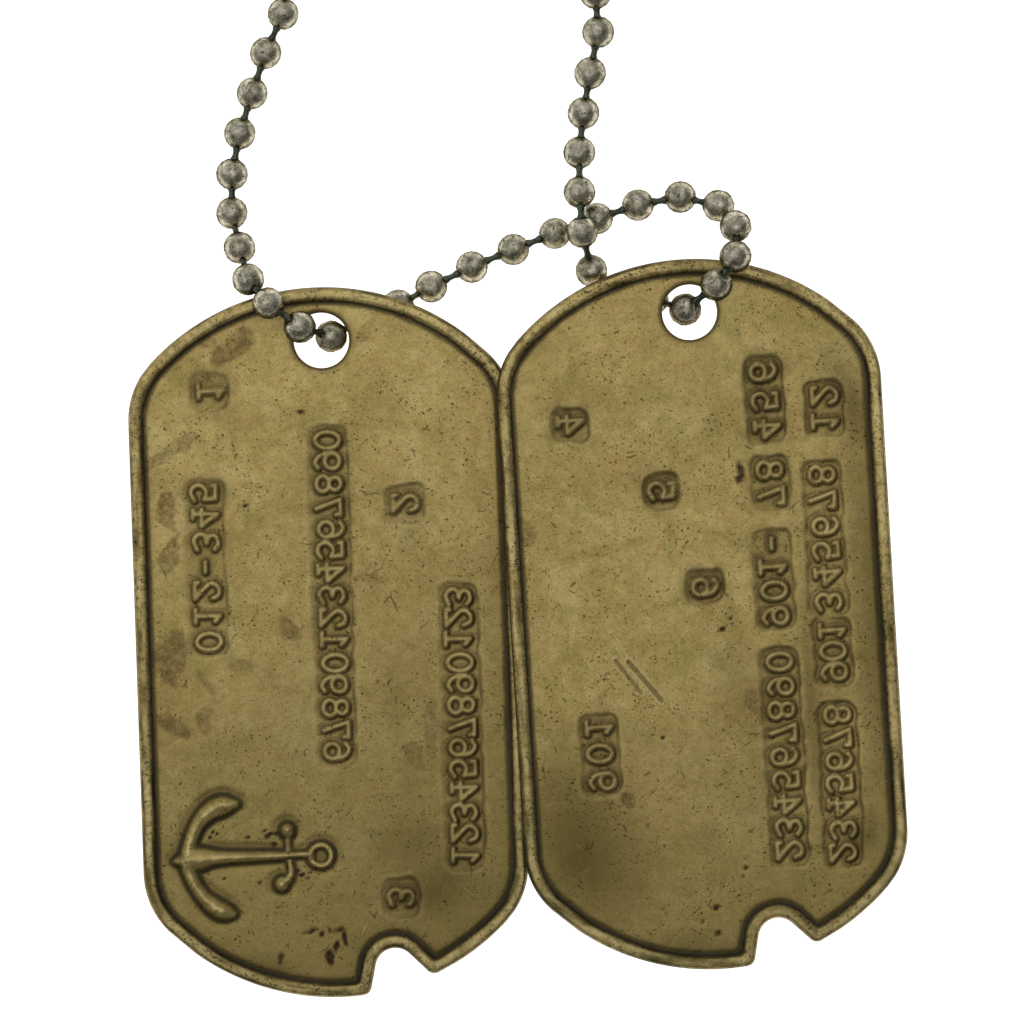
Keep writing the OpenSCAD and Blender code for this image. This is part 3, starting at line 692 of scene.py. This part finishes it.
# how the tags lie: the hole end on the chain beneath it, the right one's left rim on its neighbour
overlap = 1.4  # how far the right tag's left side lies above its right one, in rims with clearance
lean = math.degrees(math.asin((chain["bead"] + 3 * chain["seat"]) / blank["length"]))
rollRight = math.degrees(math.asin(overlap * (blank["rimHeight"] + chain["seat"]) / blank["width"]))


def meshObject(name, verts, faces, materials, faceMaterial=None, attrs=None):
    mesh = bpy.data.meshes.new(name)
    mesh.from_pydata(verts.tolist(), [], faces)
    for material in materials:
        mesh.materials.append(material)
    if faceMaterial is not None:
        mesh.polygons.foreach_set("material_index", faceMaterial)
    mesh.polygons.foreach_set("use_smooth", [True] * len(mesh.polygons))
    if attrs is not None:
        layer = mesh.color_attributes.new("wear", "FLOAT_COLOR", "POINT")
        layer.data.foreach_set("color", np.asarray(attrs, np.float32).ravel())
    mesh.update()
    obj = bpy.data.objects.new(name, mesh)
    bpy.context.scene.collection.objects.link(obj)
    return obj


def placeTag(tag, name, materials):
    sheetVerts, sheetFaces, sheetWear = buildSheet(tag)
    rimVerts, rimFaces, rimWear = buildRim(tag)
    turn = rotation(lean, rollRight if tag["rolled"] else 0, tag["yaw"]).T
    sheetVerts, rimVerts = sheetVerts @ turn * mm, rimVerts @ turn * mm
    low, high = (np.array(v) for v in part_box(tag["node"]))
    shift = (low + high) / 2 - (rimVerts.min(0) + rimVerts.max(0)) / 2
    shift[2] = low[2] - rimVerts[:, 2].min()
    offset = len(sheetVerts)
    verts = np.concatenate([sheetVerts, rimVerts]) + shift
    faces = sheetFaces + [[k + offset for k in f] for f in rimFaces]
    faceMaterial = np.repeat([0, 1], [len(sheetFaces), len(rimFaces)])
    obj = meshObject(name, verts, faces, materials, faceMaterial, np.concatenate([sheetWear, rimWear]))
    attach(obj, "root")
    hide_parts(tag["node"])
    print(name, "built with", sum(len(f) - 2 for f in faces), "triangles")


# a metal from its table and one of its finishes: the patterns, then the layers from below, each with its
# colour, the two parts that multiply to its mark, how much of it shows and how deep it cuts
def finishMetal(tree, metal, finish, parts):
    for name, value in (metal["colours"] | finish).items():
        parts[name] = linear(value) if isinstance(value, str) else value
    addRows(tree, metal["rows"], parts)
    colour, height = parts["base"], parts["relief"]
    for tint, first, second, amount, depth in metal["layers"]:
        mark = addNode(tree, "ShaderNodeMath", {"operation": "MULTIPLY"}, {0: parts[first], 1: parts[second]})
        cover = addNode(tree, "ShaderNodeMath", {"operation": "MULTIPLY"}, {0: mark, 1: amount})
        colour = addNode(tree, "ShaderNodeMix", {"data_type": "RGBA"}, {0: cover, 6: colour, 7: parts[tint]})
        if depth:
            height = addNode(tree, "ShaderNodeMath", {"operation": "MULTIPLY_ADD"},
                             {0: mark, 1: -depth, 2: height})
    bump = addNode(tree, "ShaderNodeBump", None,
                   {"Strength": metal["bump"], "Distance": metal["bumpDepth"] * mm, "Height": height})
    shader = addNode(tree, "ShaderNodeBsdfPrincipled", None,
                     {"Base Color": colour, "Metallic": parts["metallic"], "Roughness": parts["roughness"],
                      "Specular Tint": parts["edge"], "Normal": bump})
    addNode(tree, "ShaderNodeOutputMaterial", None, {"Surface": shader})


# short scratches: noise drawn out along one direction, only its crests kept
def scratches(tree, place, turn, length, width, keep, offset):
    spun = addNode(tree, "ShaderNodeMapping", {"vector_type": "TEXTURE"},
                   {"Vector": place, "Location": (offset, offset * 0.7, 0),
                    "Rotation": (0, 0, math.radians(turn)), "Scale": (length, width, length)})
    drawn = addNode(tree, "ShaderNodeTexNoise", None,
                    {"Vector": spun, "Scale": 1.0, "Detail": 1.0, "Distortion": 0.25})
    return addNode(tree, "ShaderNodeMapRange", {"interpolation_type": "SMOOTHSTEP"},
                   {"Value": drawn, "From Min": keep, "From Max": keep + 0.05})


# nicks: short stretches of a bent net of lines
def nicks(tree, place, size, width, keep, offset):
    moved = addNode(tree, "ShaderNodeVectorMath", {"operation": "ADD"}, {0: place, 1: (offset, -offset, 0)})
    bend = addNode(tree, "ShaderNodeTexNoise", None, {"Vector": moved, "Scale": 1.2 / size, "Detail": 2.0})
    bent = addNode(tree, "ShaderNodeVectorMath", {"operation": "MULTIPLY_ADD"},
                   {0: bend.outputs["Color"], 1: (size * 0.4,) * 3, 2: moved})
    net = addNode(tree, "ShaderNodeTexVoronoi", {"feature": "DISTANCE_TO_EDGE"},
                  {"Vector": bent, "Scale": 1 / size})
    areas = addNode(tree, "ShaderNodeTexNoise", None,
                    {"Vector": moved, "Scale": 1 / (size * 0.45), "Detail": 1.0})
    parts = {"net": net, "areas": areas}
    addRows(tree, {
        "line": ("mask", "net", 0.3 * width / size, width / size, 1, 0),
        "kept": ("mask", "areas", keep, keep + 0.05, 0, 1),
        "nick": ("times", "line", "kept")}, parts)
    return parts["nick"]


# brass sheet, rolled thin, pressed and stamped, then worn and tarnished for years. The eye sees soft olive
# gold that is mottled, scratched and never quite even, bright where it rubs and with painted highlights on
# the crests, nearly black in the hollows with dirt and painted shade
brass = {
    "colours": {
        "base": "#b19a5d", "middle": "#c8b06e", "light": "#dac481", "olive": "#6f6236", "green": "#93904f",
        "copper": "#c79a6c", "deep": "#4e4527", "brown": "#523b27", "nick": "#3b3018", "dirtAndShade": "#1f1b15",
        "wornAndHighlight": "#ead89a", "edge": "#ffffff"},
    # a cloud has 1 / its size in mm, detail, roughness and bend. A mask has what it is cut from, the ends
    # there and the result at each end. A share runs straight from 0 to 1 between its ends. The metal's own
    # grain is about 0.03 mm, too fine for the picture, so that it is drawn at 0.13 mm
    "rows": {
        "mottle": ("cloud", "place", 1 / 4.0, 3, 0.6, 0.4),
        "drift": ("cloud", "place", 1 / 3.2, 2, 0.5, 1.0),
        "fleck": ("cloud", "place", 1 / 0.9, 4, 0.65, 0),
        "grain": ("cloud", "place", 1 / 0.13, 2, 0.6, 0),
        "reddened": ("cloud", "place", 1 / 0.6, 3, 0.6, 0.8),
        "skin": ("cloud", "place", 1 / 0.38, 4, 0.7, 0.3),
        "spill": ("cloud", "place", 1 / 0.5, 4, 0.7, 0),
        "hairlineAreas": ("cloud", "place", 1 / 3.0, 2, 0.5, 0),
        "nickAreas": ("cloud", "place", 1 / 4.5, 2, 0.5, 0),
        "speckAreas": ("cloud", "place", 1 / 3.0, 2, 0.6, 0),
        "specks": ("cloud", "place", 1 / 0.22, 3, 0.6, 0.3),
        "fleckTone": ("times", "fleck", 0.45),
        "tone": ("timesPlus", "mottle", 0.55, "fleckTone"),
        "middleTone": ("share", "tone", 0.36, 0.5),
        "lightTone": ("share", "tone", 0.5, 0.62),
        "greenCloud": ("mask", "drift", 0.53, 0.68, 0, 0.33),
        "copperCloud": ("mask", "drift", 0.5, 0.32, 0.15, 1),
        "copperSpots": ("mask", "reddened", 0.5, 0.68, 0, 0.6),
        "pores": ("mask", "grain", 0.32, 0.55, 0.3, 0),
        "rubbed": ("mask", "grain", 0.56, 0.72, 0, 0.2),
        "uneven": ("mask", "mottle", 0.3, 0.7, 0.8, 1),
        "heavyTarnish": ("mask", "tarnishAndShade", 0.85, 1.4, 0, 0.5),
        "patina": ("mask", "skin", 0.49, 0.58, 0, "patinaShare"),
        "soaked": ("mask", "spill", 0.35, 0.6, 0.45, 1),
        "polish": ("mask", "fleck", 0.35, 0.6, 0.25, 0.8),
        "crowded": ("mask", "hairlineAreas", 0.38, 0.6, 0.1, 1),
        "clustered": ("mask", "nickAreas", 0.4, 0.58, 0.3, 1),
        "speckMore": ("mask", "speckAreas", 0.35, 0.7, 0.08, 0),
        "speckTone": ("plus", "specks", "speckMore"),
        "speck": ("mask", "speckTone", "speckFrom", "speckTo", 0, 1),
        "caught": ("mask", "fleck", 0.25, 0.5, 0.75, 1),
        "settledAndShade": ("times", "grimeAndShade", "caught"),
        "metallic": ("mask", "settledAndShade", 0.3, 1, 1, 0),  # dirt isn't metal, and the painted shade mixed into it loses its metal too
        "metalRoughness": ("timesPlus", "fleck", 0.12, 0.34),
        "roughness": ("timesPlus", "settledAndShade", 0.4, "metalRoughness"),
        "relief": ("times", "grain", 0.35),
    },
    "layers": [
        ("middle", "middleTone", "whole", 1, 0), ("light", "lightTone", "whole", 1, 0),
        ("green", "greenCloud", "whole", 1, 0), ("copper", "copperCloud", "copperSpots", 1, 0),
        ("olive", "pores", "whole", 1, 0), ("wornAndHighlight", "rubbed", "whole", 1, 0),
        ("olive", "tarnishAndShade", "uneven", 1, 0), ("deep", "heavyTarnish", "whole", 1, 0),
        ("deep", "patina", "whole", 1, 0), ("brown", "stain", "soaked", 1, 0),
        ("wornAndHighlight", "rubAndHighlight", "polish", 1, 0),
        *(("wornAndHighlight", "hairline" + k, "crowded", 0.35, 0.6) for k in "012"),
        *(("nick", "nick" + k, "clustered", 0.6, 0.8) for k in "012"),
        ("dirtAndShade", "speck", "whole", 0.75, 0.6), ("dirtAndShade", "settledAndShade", "whole", 1, 0)],
    # bright hairlines: turn, length and width in mm, share kept, offset. Real ones are about 0.01 mm wide,
    # and drawn at 0.05 mm they just show
    "hairlines": [(24, 3.2, 0.05, 0.7, 47), (-38, 2.6, 0.05, 0.7, 59), (66, 3.0, 0.05, 0.7, 71)],
    # dark nicks: size of the net they lie on and width in mm, share kept, offset
    "nicks": [(1.6, 0.05, 0.66, 3), (3.1, 0.06, 0.63, 17), (0.9, 0.045, 0.68, 29)],
    "bump": 0.55, "bumpDepth": 0.03,
    # the sheet keeps its colour, and the rolled rim is handled more: dark skin in patches and more specks
    "sheet": {"patinaShare": 0.12, "speckFrom": 0.68, "speckTo": 0.74},
    "rim": {"patinaShare": 0.62, "speckFrom": 0.65, "speckTo": 0.71},
}


def brassMaterial(name, finish):
    material, tree, parts = newMaterial(name)
    # the wear attribute holds grime with painted shade, rubbing with painted highlights, tarnish with painted
    # shade, and stain
    wear = addNode(tree, "ShaderNodeAttribute", {"attribute_name": "wear"})
    split = addNode(tree, "ShaderNodeSeparateColor", None, {"Color": wear})
    parts.update(zip(("grimeAndShade", "rubAndHighlight", "tarnishAndShade"), split.outputs), stain=wear.outputs["Alpha"])
    for k in range(3):
        parts[f"hairline{k}"] = scratches(tree, parts["place"], *brass["hairlines"][k])
        parts[f"nick{k}"] = nicks(tree, parts["place"], *brass["nicks"][k])
    finishMetal(tree, brass, finish, parts)
    return material


sheetBrass = brassMaterial("stamped_brass_sheet", brass["sheet"])
rimBrass = brassMaterial("rolled_brass_rim", brass["rim"])
print("brass mixed")

placeTag(anchorTag, "anchor_tag_brass", [sheetBrass, rimBrass])
placeTag(numberTag, "number_tag_brass", [sheetBrass, rimBrass])


# bead stations: the wire's corners gather round them, and the walk goes straight on where the chain crosses
def chainStations():
    corners = np.array([v.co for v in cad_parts["chain_wire"].data.vertices]) / mm
    centres = []
    left = corners
    while len(left):
        near = np.hypot(*(left - left[0]).T[:2]) < chain["gather"]
        near &= np.abs(left[:, 2] - left[0, 2]) < chain["gather"]
        unique = np.unique(np.round(left[near], 3), axis=0)
        centres.append(unique.mean(0))
        left = left[~near]
    centres = np.array(centres)
    start = centres[:, 1].argmax()
    order, here = [start], centres[start]
    heading = np.array([1.0, 0, 0])
    free = np.ones(len(centres), bool)
    free[start] = False
    while free.any():
        ahead = np.where(free, np.linalg.norm(centres - (here + chain["stride"] * heading), axis=1), 1e9)
        k = int(ahead.argmin())
        heading = (centres[k] - here) / np.linalg.norm(centres[k] - here)
        here = centres[k]
        free[k] = False
        order.append(k)
    return centres[order]


stations = chainStations()
steps = np.linalg.norm(np.roll(stations, -1, 0) - stations, axis=1)
print(f"chain of {len(stations)} stations, {steps.sum():.1f} mm,",
      f"spaced {steps.min():.2f} to {steps.max():.2f}")


# runs a node tree on a cloud of points and keeps the result as a plain mesh
def grow(name, points, vectors, numbers, tree, inputs):
    mesh = bpy.data.meshes.new(name)
    mesh.from_pydata((np.asarray(points) * mm).tolist(), [], [])
    along = mesh.attributes.new("along", "FLOAT_VECTOR", "POINT")
    along.data.foreach_set("vector", np.asarray(vectors, np.float32).ravel())
    span = mesh.attributes.new("span", "FLOAT", "POINT")
    span.data.foreach_set("value", np.asarray(numbers, np.float32) * mm)
    obj = bpy.data.objects.new(name, mesh)
    bpy.context.scene.collection.objects.link(obj)
    modifier = obj.modifiers.new("grow", "NODES")
    modifier.node_group = tree
    for socket in tree.interface.items_tree:
        if socket.in_out == "INPUT" and socket.name in inputs:
            modifier[socket.identifier] = inputs[socket.name]
    graph = bpy.context.evaluated_depsgraph_get()
    solid = bpy.data.meshes.new_from_object(obj.evaluated_get(graph), depsgraph=graph)
    obj.modifiers.clear()
    obj.data = solid
    solid.polygons.foreach_set("use_smooth", [True] * len(solid.polygons))
    return obj


def newTree(name, inputs):
    tree = bpy.data.node_groups.new(name, "GeometryNodeTree")
    tree.interface.new_socket(name="Points", in_out="INPUT", socket_type="NodeSocketGeometry")
    for label, kind, value in inputs:
        socket = tree.interface.new_socket(name=label, in_out="INPUT", socket_type=kind)
        if value is not None:
            socket.default_value = value
    tree.interface.new_socket(name="Solid", in_out="OUTPUT", socket_type="NodeSocketGeometry")
    return tree, addNode(tree, "NodeGroupInput")


# ends a tree: instances turned along the chain, made real and given their material
def plant(tree, given, shape, scale):
    along = addNode(tree, "GeometryNodeInputNamedAttribute", {"data_type": "FLOAT_VECTOR"}, {"Name": "along"})
    turn = addNode(tree, "FunctionNodeAlignRotationToVector", {"axis": "Z"}, {"Vector": along})
    planted = addNode(tree, "GeometryNodeInstanceOnPoints", None,
                      {"Points": given.outputs["Points"], "Instance": shape, "Rotation": turn,
                       "Scale": scale})
    real = addNode(tree, "GeometryNodeRealizeInstances", None, {"Geometry": planted})
    clad = addNode(tree, "GeometryNodeSetMaterial", None,
                   {"Geometry": real, "Material": given.outputs["Material"]})
    addNode(tree, "NodeGroupOutput", None, {"Solid": clad})
    return tree


# hollow bead: a rolled ball whose two holes turn inwards where the link goes through
def beadTree():
    tree, given = newTree("rolled_beads", [
        ("Diameter", "NodeSocketFloat", 0.0023), ("Sides", "NodeSocketInt", 12),
        ("Rings", "NodeSocketInt", 8), ("Hole Depth", "NodeSocketFloat", 0.3),
        ("Spread", "NodeSocketFloat", 0.02), ("Seed", "NodeSocketInt", 1),
        ("Material", "NodeSocketMaterial", None)])
    radius = addNode(tree, "ShaderNodeMath", {"operation": "MULTIPLY"},
                     {0: given.outputs["Diameter"], 1: 0.5})
    ball = addNode(tree, "GeometryNodeMeshUVSphere", None,
                   {"Segments": given.outputs["Sides"], "Rings": given.outputs["Rings"], "Radius": radius})
    place = addNode(tree, "GeometryNodeInputPosition")
    split = addNode(tree, "ShaderNodeSeparateXYZ", None, {"Vector": place})
    up = addNode(tree, "ShaderNodeMath", {"operation": "ABSOLUTE"}, {0: split.outputs["Z"]})
    share = addNode(tree, "ShaderNodeMath", {"operation": "DIVIDE"}, {0: up, 1: radius})
    pole = addNode(tree, "ShaderNodeMath", {"operation": "GREATER_THAN"}, {0: share, 1: 0.98})
    depth = addNode(tree, "ShaderNodeMath", {"operation": "MULTIPLY"},
                    {0: pole, 1: given.outputs["Hole Depth"]})
    kept = addNode(tree, "ShaderNodeMath", {"operation": "SUBTRACT"}, {0: 1.0, 1: depth})
    lowered = addNode(tree, "ShaderNodeMath", {"operation": "MULTIPLY"}, {0: split.outputs["Z"], 1: kept})
    moved = addNode(tree, "ShaderNodeCombineXYZ", None,
                    {"X": split.outputs["X"], "Y": split.outputs["Y"], "Z": lowered})
    bead = addNode(tree, "GeometryNodeSetPosition", None, {"Geometry": ball, "Position": moved})
    least = addNode(tree, "ShaderNodeMath", {"operation": "SUBTRACT"}, {0: 1.0, 1: given.outputs["Spread"]})
    size = addNode(tree, "FunctionNodeRandomValue", {"data_type": "FLOAT"},
                   {2: least, 3: 1.0, "Seed": given.outputs["Seed"]})
    return plant(tree, given, bead, size)


# link: a length of drawn wire from the middle of one bead to the next, wider at its ends
def linkTree():
    tree, given = newTree("drawn_links", [
        ("Thickness", "NodeSocketFloat", 0.00046), ("Sides", "NodeSocketInt", 8),
        ("Flare", "NodeSocketFloat", 0.45), ("Material", "NodeSocketMaterial", None)])
    radius = addNode(tree, "ShaderNodeMath", {"operation": "MULTIPLY"},
                     {0: given.outputs["Thickness"], 1: 0.5})
    rod = addNode(tree, "GeometryNodeMeshCylinder", {"fill_type": "NGON"},
                  {"Vertices": given.outputs["Sides"], "Side Segments": 5, "Radius": radius, "Depth": 1.0})
    place = addNode(tree, "GeometryNodeInputPosition")
    split = addNode(tree, "ShaderNodeSeparateXYZ", None, {"Vector": place})
    up = addNode(tree, "ShaderNodeMath", {"operation": "ABSOLUTE"}, {0: split.outputs["Z"]})
    middle = addNode(tree, "ShaderNodeMath", {"operation": "LESS_THAN"}, {0: up, 1: 0.4})
    drawn = addNode(tree, "ShaderNodeMath", {"operation": "MULTIPLY_ADD"}, {0: middle, 1: -0.55, 2: 1.0})
    near = addNode(tree, "ShaderNodeMath", {"operation": "MULTIPLY"}, {0: split.outputs["Z"], 1: drawn})
    end = addNode(tree, "ShaderNodeMath", {"operation": "GREATER_THAN"}, {0: up, 1: 0.2})
    wide = addNode(tree, "ShaderNodeMath", {"operation": "MULTIPLY_ADD"},
                   {0: end, 1: given.outputs["Flare"], 2: 1.0})
    across, deep = (addNode(tree, "ShaderNodeMath", {"operation": "MULTIPLY"},
                            {0: split.outputs[axis], 1: wide}) for axis in ("X", "Y"))
    moved = addNode(tree, "ShaderNodeCombineXYZ", None, {"X": across, "Y": deep, "Z": near})
    wire = addNode(tree, "GeometryNodeSetPosition", None, {"Geometry": rod, "Position": moved})
    span = addNode(tree, "GeometryNodeInputNamedAttribute", {"data_type": "FLOAT"}, {"Name": "span"})
    scale = addNode(tree, "ShaderNodeCombineXYZ", None, {"X": 1.0, "Y": 1.0, "Z": span})
    return plant(tree, given, wire, scale)


# plated steel of the chain, rolled or drawn. The plating has dulled and pitted unevenly, so that the eye sees
# beads bright grey at the middle and freckled, warm and dark at the edge through a painted shade in the dark
# edge tint, and wire nearly bare and greenish
steel = {
    # grain and pits of worn plating are about 0.05 mm and drawn at 0.12 and 0.3 mm so that they show
    "rows": {
        "cloud": ("cloud", "place", 1 / 0.55, 4, 0.65, 0.3),
        "grain": ("cloud", "place", 1 / 0.12, 3, 0.6, 0),
        "pitting": ("cloud", "place", 1 / 0.3, 3, 0.65, 0.4),
        "middleTone": ("share", "cloud", 0.34, 0.5),
        "lightTone": ("share", "cloud", 0.5, 0.64),
        "pores": ("mask", "grain", 0.4, 0.62, 0.4, 0),
        "pits": ("mask", "pitting", "pitFrom", "pitTo", 0, 1),
        "roughness": ("timesPlus", "pits", 0.3, 0.27),
        "relief": ("times", "grain", 0.6),
    },
    "layers": [("middle", "middleTone", "whole", 1, 0), ("light", "lightTone", "whole", 1, 0),
               ("base", "pores", "whole", 1, 0), ("pit", "pits", "whole", 0.75, 1)],
    "bump": 0.6, "bumpDepth": 0.04,
    # the dark edge tint greys the gloss at the rims: a painted shade that darkens the beads' edges
    "colours": {"pit": "#38342a", "edge": "#625f55"}, "metallic": 1.0,
    "plated": {"base": "#7a7764", "middle": "#b6b09b", "light": "#e6ddc8", "pitFrom": 0.56, "pitTo": 0.68},
    "drawn": {"base": "#2f3a32", "middle": "#5b6355", "light": "#5b6355", "pitFrom": 0.64, "pitTo": 0.76},
}


def steelMaterial(name, finish):
    material, tree, parts = newMaterial(name)
    parts["metallic"] = steel["metallic"]
    finishMetal(tree, steel, finish, parts)
    return material


beadSteel = steelMaterial("tarnished_plated_steel", steel["plated"])
linkSteel = steelMaterial("drawn_steel_wire", steel["drawn"])

# coupling: a plain rolled sleeve with turned-in ends, along the chain, in mm
coupling = {"length": 8.6, "diameter": 3.2, "hole": 1.0, "endRound": 0.5, "endWall": 1.2, "sides": 40}

low, high = (np.array(v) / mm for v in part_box("chain_coupling"))
couplingCentre = (low + high) / 2
fromCoupling = np.linalg.norm(stations - couplingCentre, axis=1)
bare = fromCoupling < coupling["length"] / 2
ahead, behind = np.roll(stations, -1, 0), np.roll(stations, 1, 0)
tangents = (ahead - behind) / np.linalg.norm(ahead - behind, axis=1)[:, None]
beads = grow("chain_beads_steel", stations[~bare], tangents[~bare], np.ones((~bare).sum()), beadTree(),
             {"Diameter": (chain["bead"] + chain["beadMore"]) * mm, "Spread": chain["spread"],
              "Seed": chain["seed"], "Material": beadSteel})
links = grow("chain_links_steel", (stations + ahead) / 2, (ahead - stations) / steps[:, None], steps,
             linkTree(), {"Thickness": chain["link"] * mm, "Material": linkSteel})
for obj, node, slot in ((beads, "chain_beads", "bead_steel"), (links, "chain_wire", "link_steel")):
    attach(obj, "root")
    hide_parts(node)
print("chain grown:", int((~bare).sum()), "beads")


# turns a closed profile of heights and radii round the z axis
def lathe(profile, sides):
    turns = np.arange(sides) / sides * 2 * math.pi
    verts = np.concatenate([[(r * math.cos(a), r * math.sin(a), z) for a in turns] for z, r in profile])
    return verts, closeRings(len(profile), sides)


halfL, outR, holeR = coupling["length"] / 2, coupling["diameter"] / 2, coupling["hole"] / 2
bend = coupling["endRound"]
turnIn = [(halfL - bend + bend * math.sin(a), outR - bend + bend * math.cos(a))
          for a in np.radians(range(0, 91, 15))]
inner = halfL - coupling["endWall"]
profile = [(-z, r) for z, r in reversed(turnIn)] + turnIn
profile += [(halfL, holeR), (inner, holeR), (-inner, holeR), (-halfL, holeR)]
sleeveVerts, sleeveFaces = lathe(profile, coupling["sides"])
axis = tangents[bare][int(bare.sum()) // 2]
across = np.cross(axis, [0, 0, 1])
across /= np.linalg.norm(across)
sleeveVerts = sleeveVerts @ np.array([across, np.cross(axis, across), axis]) + couplingCentre
sleeve = meshObject("chain_coupling_steel", sleeveVerts * mm, sleeveFaces, [beadSteel])
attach(sleeve, "root")
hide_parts("chain_coupling")

# studio: a pale floor, soft light from all round that is stronger on one side, a broad soft box above
studio = {
    "floor": "#f6f6f5", "floorRoughness": 0.9, "glow": 0.97, "sheen": 0.1,
    "floorHalf": 3, "floorZ": -0.00001,  # in metres, just under the object
    "lightWay": (-0.5, 0.866, 0),  # the side the light is stronger on
    # masks as in the metals: brightness half-way down and at the horizon, each away from the light and
    # towards it, blended by height, and the box's own
    "rows": {
        "side": ("mask", "towards", -0.5, 0.8, 0.17, 0.6),
        "horizon": ("mask", "towards", -0.7, 0.7, 0.45, 0.75),
        "lower": ("mask", "up", 0.02, 0.26, "horizon", "side"),
        "overhead": ("timesPlus", "towards", 0.2, "up"),  # the soft box hangs towards the light side
        "strength": ("mask", "overhead", 0.72, 0.92, "lower", 0.78),
    },
    "lens": 200, "clip": (0.01, 10),  # clip in metres
    "photoWidth": 76.13, "centre": (4.02, -96.83), "focusHeight": 0.8,  # what the photo shows, in mm
}
floorMesh = bpy.data.meshes.new("floor")
corners = [(x * studio["floorHalf"], y * studio["floorHalf"], studio["floorZ"])
           for x, y in ((-1, -1), (1, -1), (1, 1), (-1, 1))]
floorMesh.from_pydata(corners, [], [(0, 1, 2, 3)])
floorPiece = bpy.data.objects.new("floor", floorMesh)
bpy.context.scene.collection.objects.link(floorPiece)

# matt white paper, lit from behind a little: the eye sees plain white with no gloss and hardly a shadow
material, tree, parts = newMaterial("matt_white_paper")
shader = addNode(tree, "ShaderNodeBsdfPrincipled", None,
                 {"Base Color": linear(studio["floor"]), "Roughness": studio["floorRoughness"],
                  "Emission Color": (1, 1, 1, 1), "Emission Strength": studio["glow"],
                  "Specular IOR Level": studio["sheen"]})
addNode(tree, "ShaderNodeOutputMaterial", None, {"Surface": shader})
floorMesh.materials.append(material)

world = bpy.data.worlds.new("studio")
bpy.context.scene.world = world
world.use_nodes = True
world.node_tree.nodes.clear()
tree = world.node_tree
sky = addNode(tree, "ShaderNodeTexCoord")
split = addNode(tree, "ShaderNodeSeparateXYZ", None, {"Vector": sky.outputs["Generated"]})
towards = addNode(tree, "ShaderNodeVectorMath", {"operation": "DOT_PRODUCT"},
                  {0: sky.outputs["Generated"], 1: studio["lightWay"]})
parts = {"towards": towards, "up": split.outputs["Z"]}
addRows(tree, studio["rows"], parts)
background = addNode(tree, "ShaderNodeBackground", None,
                     {"Color": (1, 1, 1, 1), "Strength": parts["strength"]})
addNode(tree, "ShaderNodeOutputWorld", None, {"Surface": background})

view = bpy.data.cameras.new("camera")
view.lens = studio["lens"]
view.clip_start, view.clip_end = studio["clip"]
camera = bpy.data.objects.new("camera", view)
bpy.context.scene.collection.objects.link(camera)
away = studio["photoWidth"] * studio["lens"] / view.sensor_width + studio["focusHeight"]
camera.location = (studio["centre"][0] * mm, studio["centre"][1] * mm, away * mm)
bpy.context.scene.camera = camera
bpy.context.scene.view_settings.view_transform = "Standard"
print("studio lit")
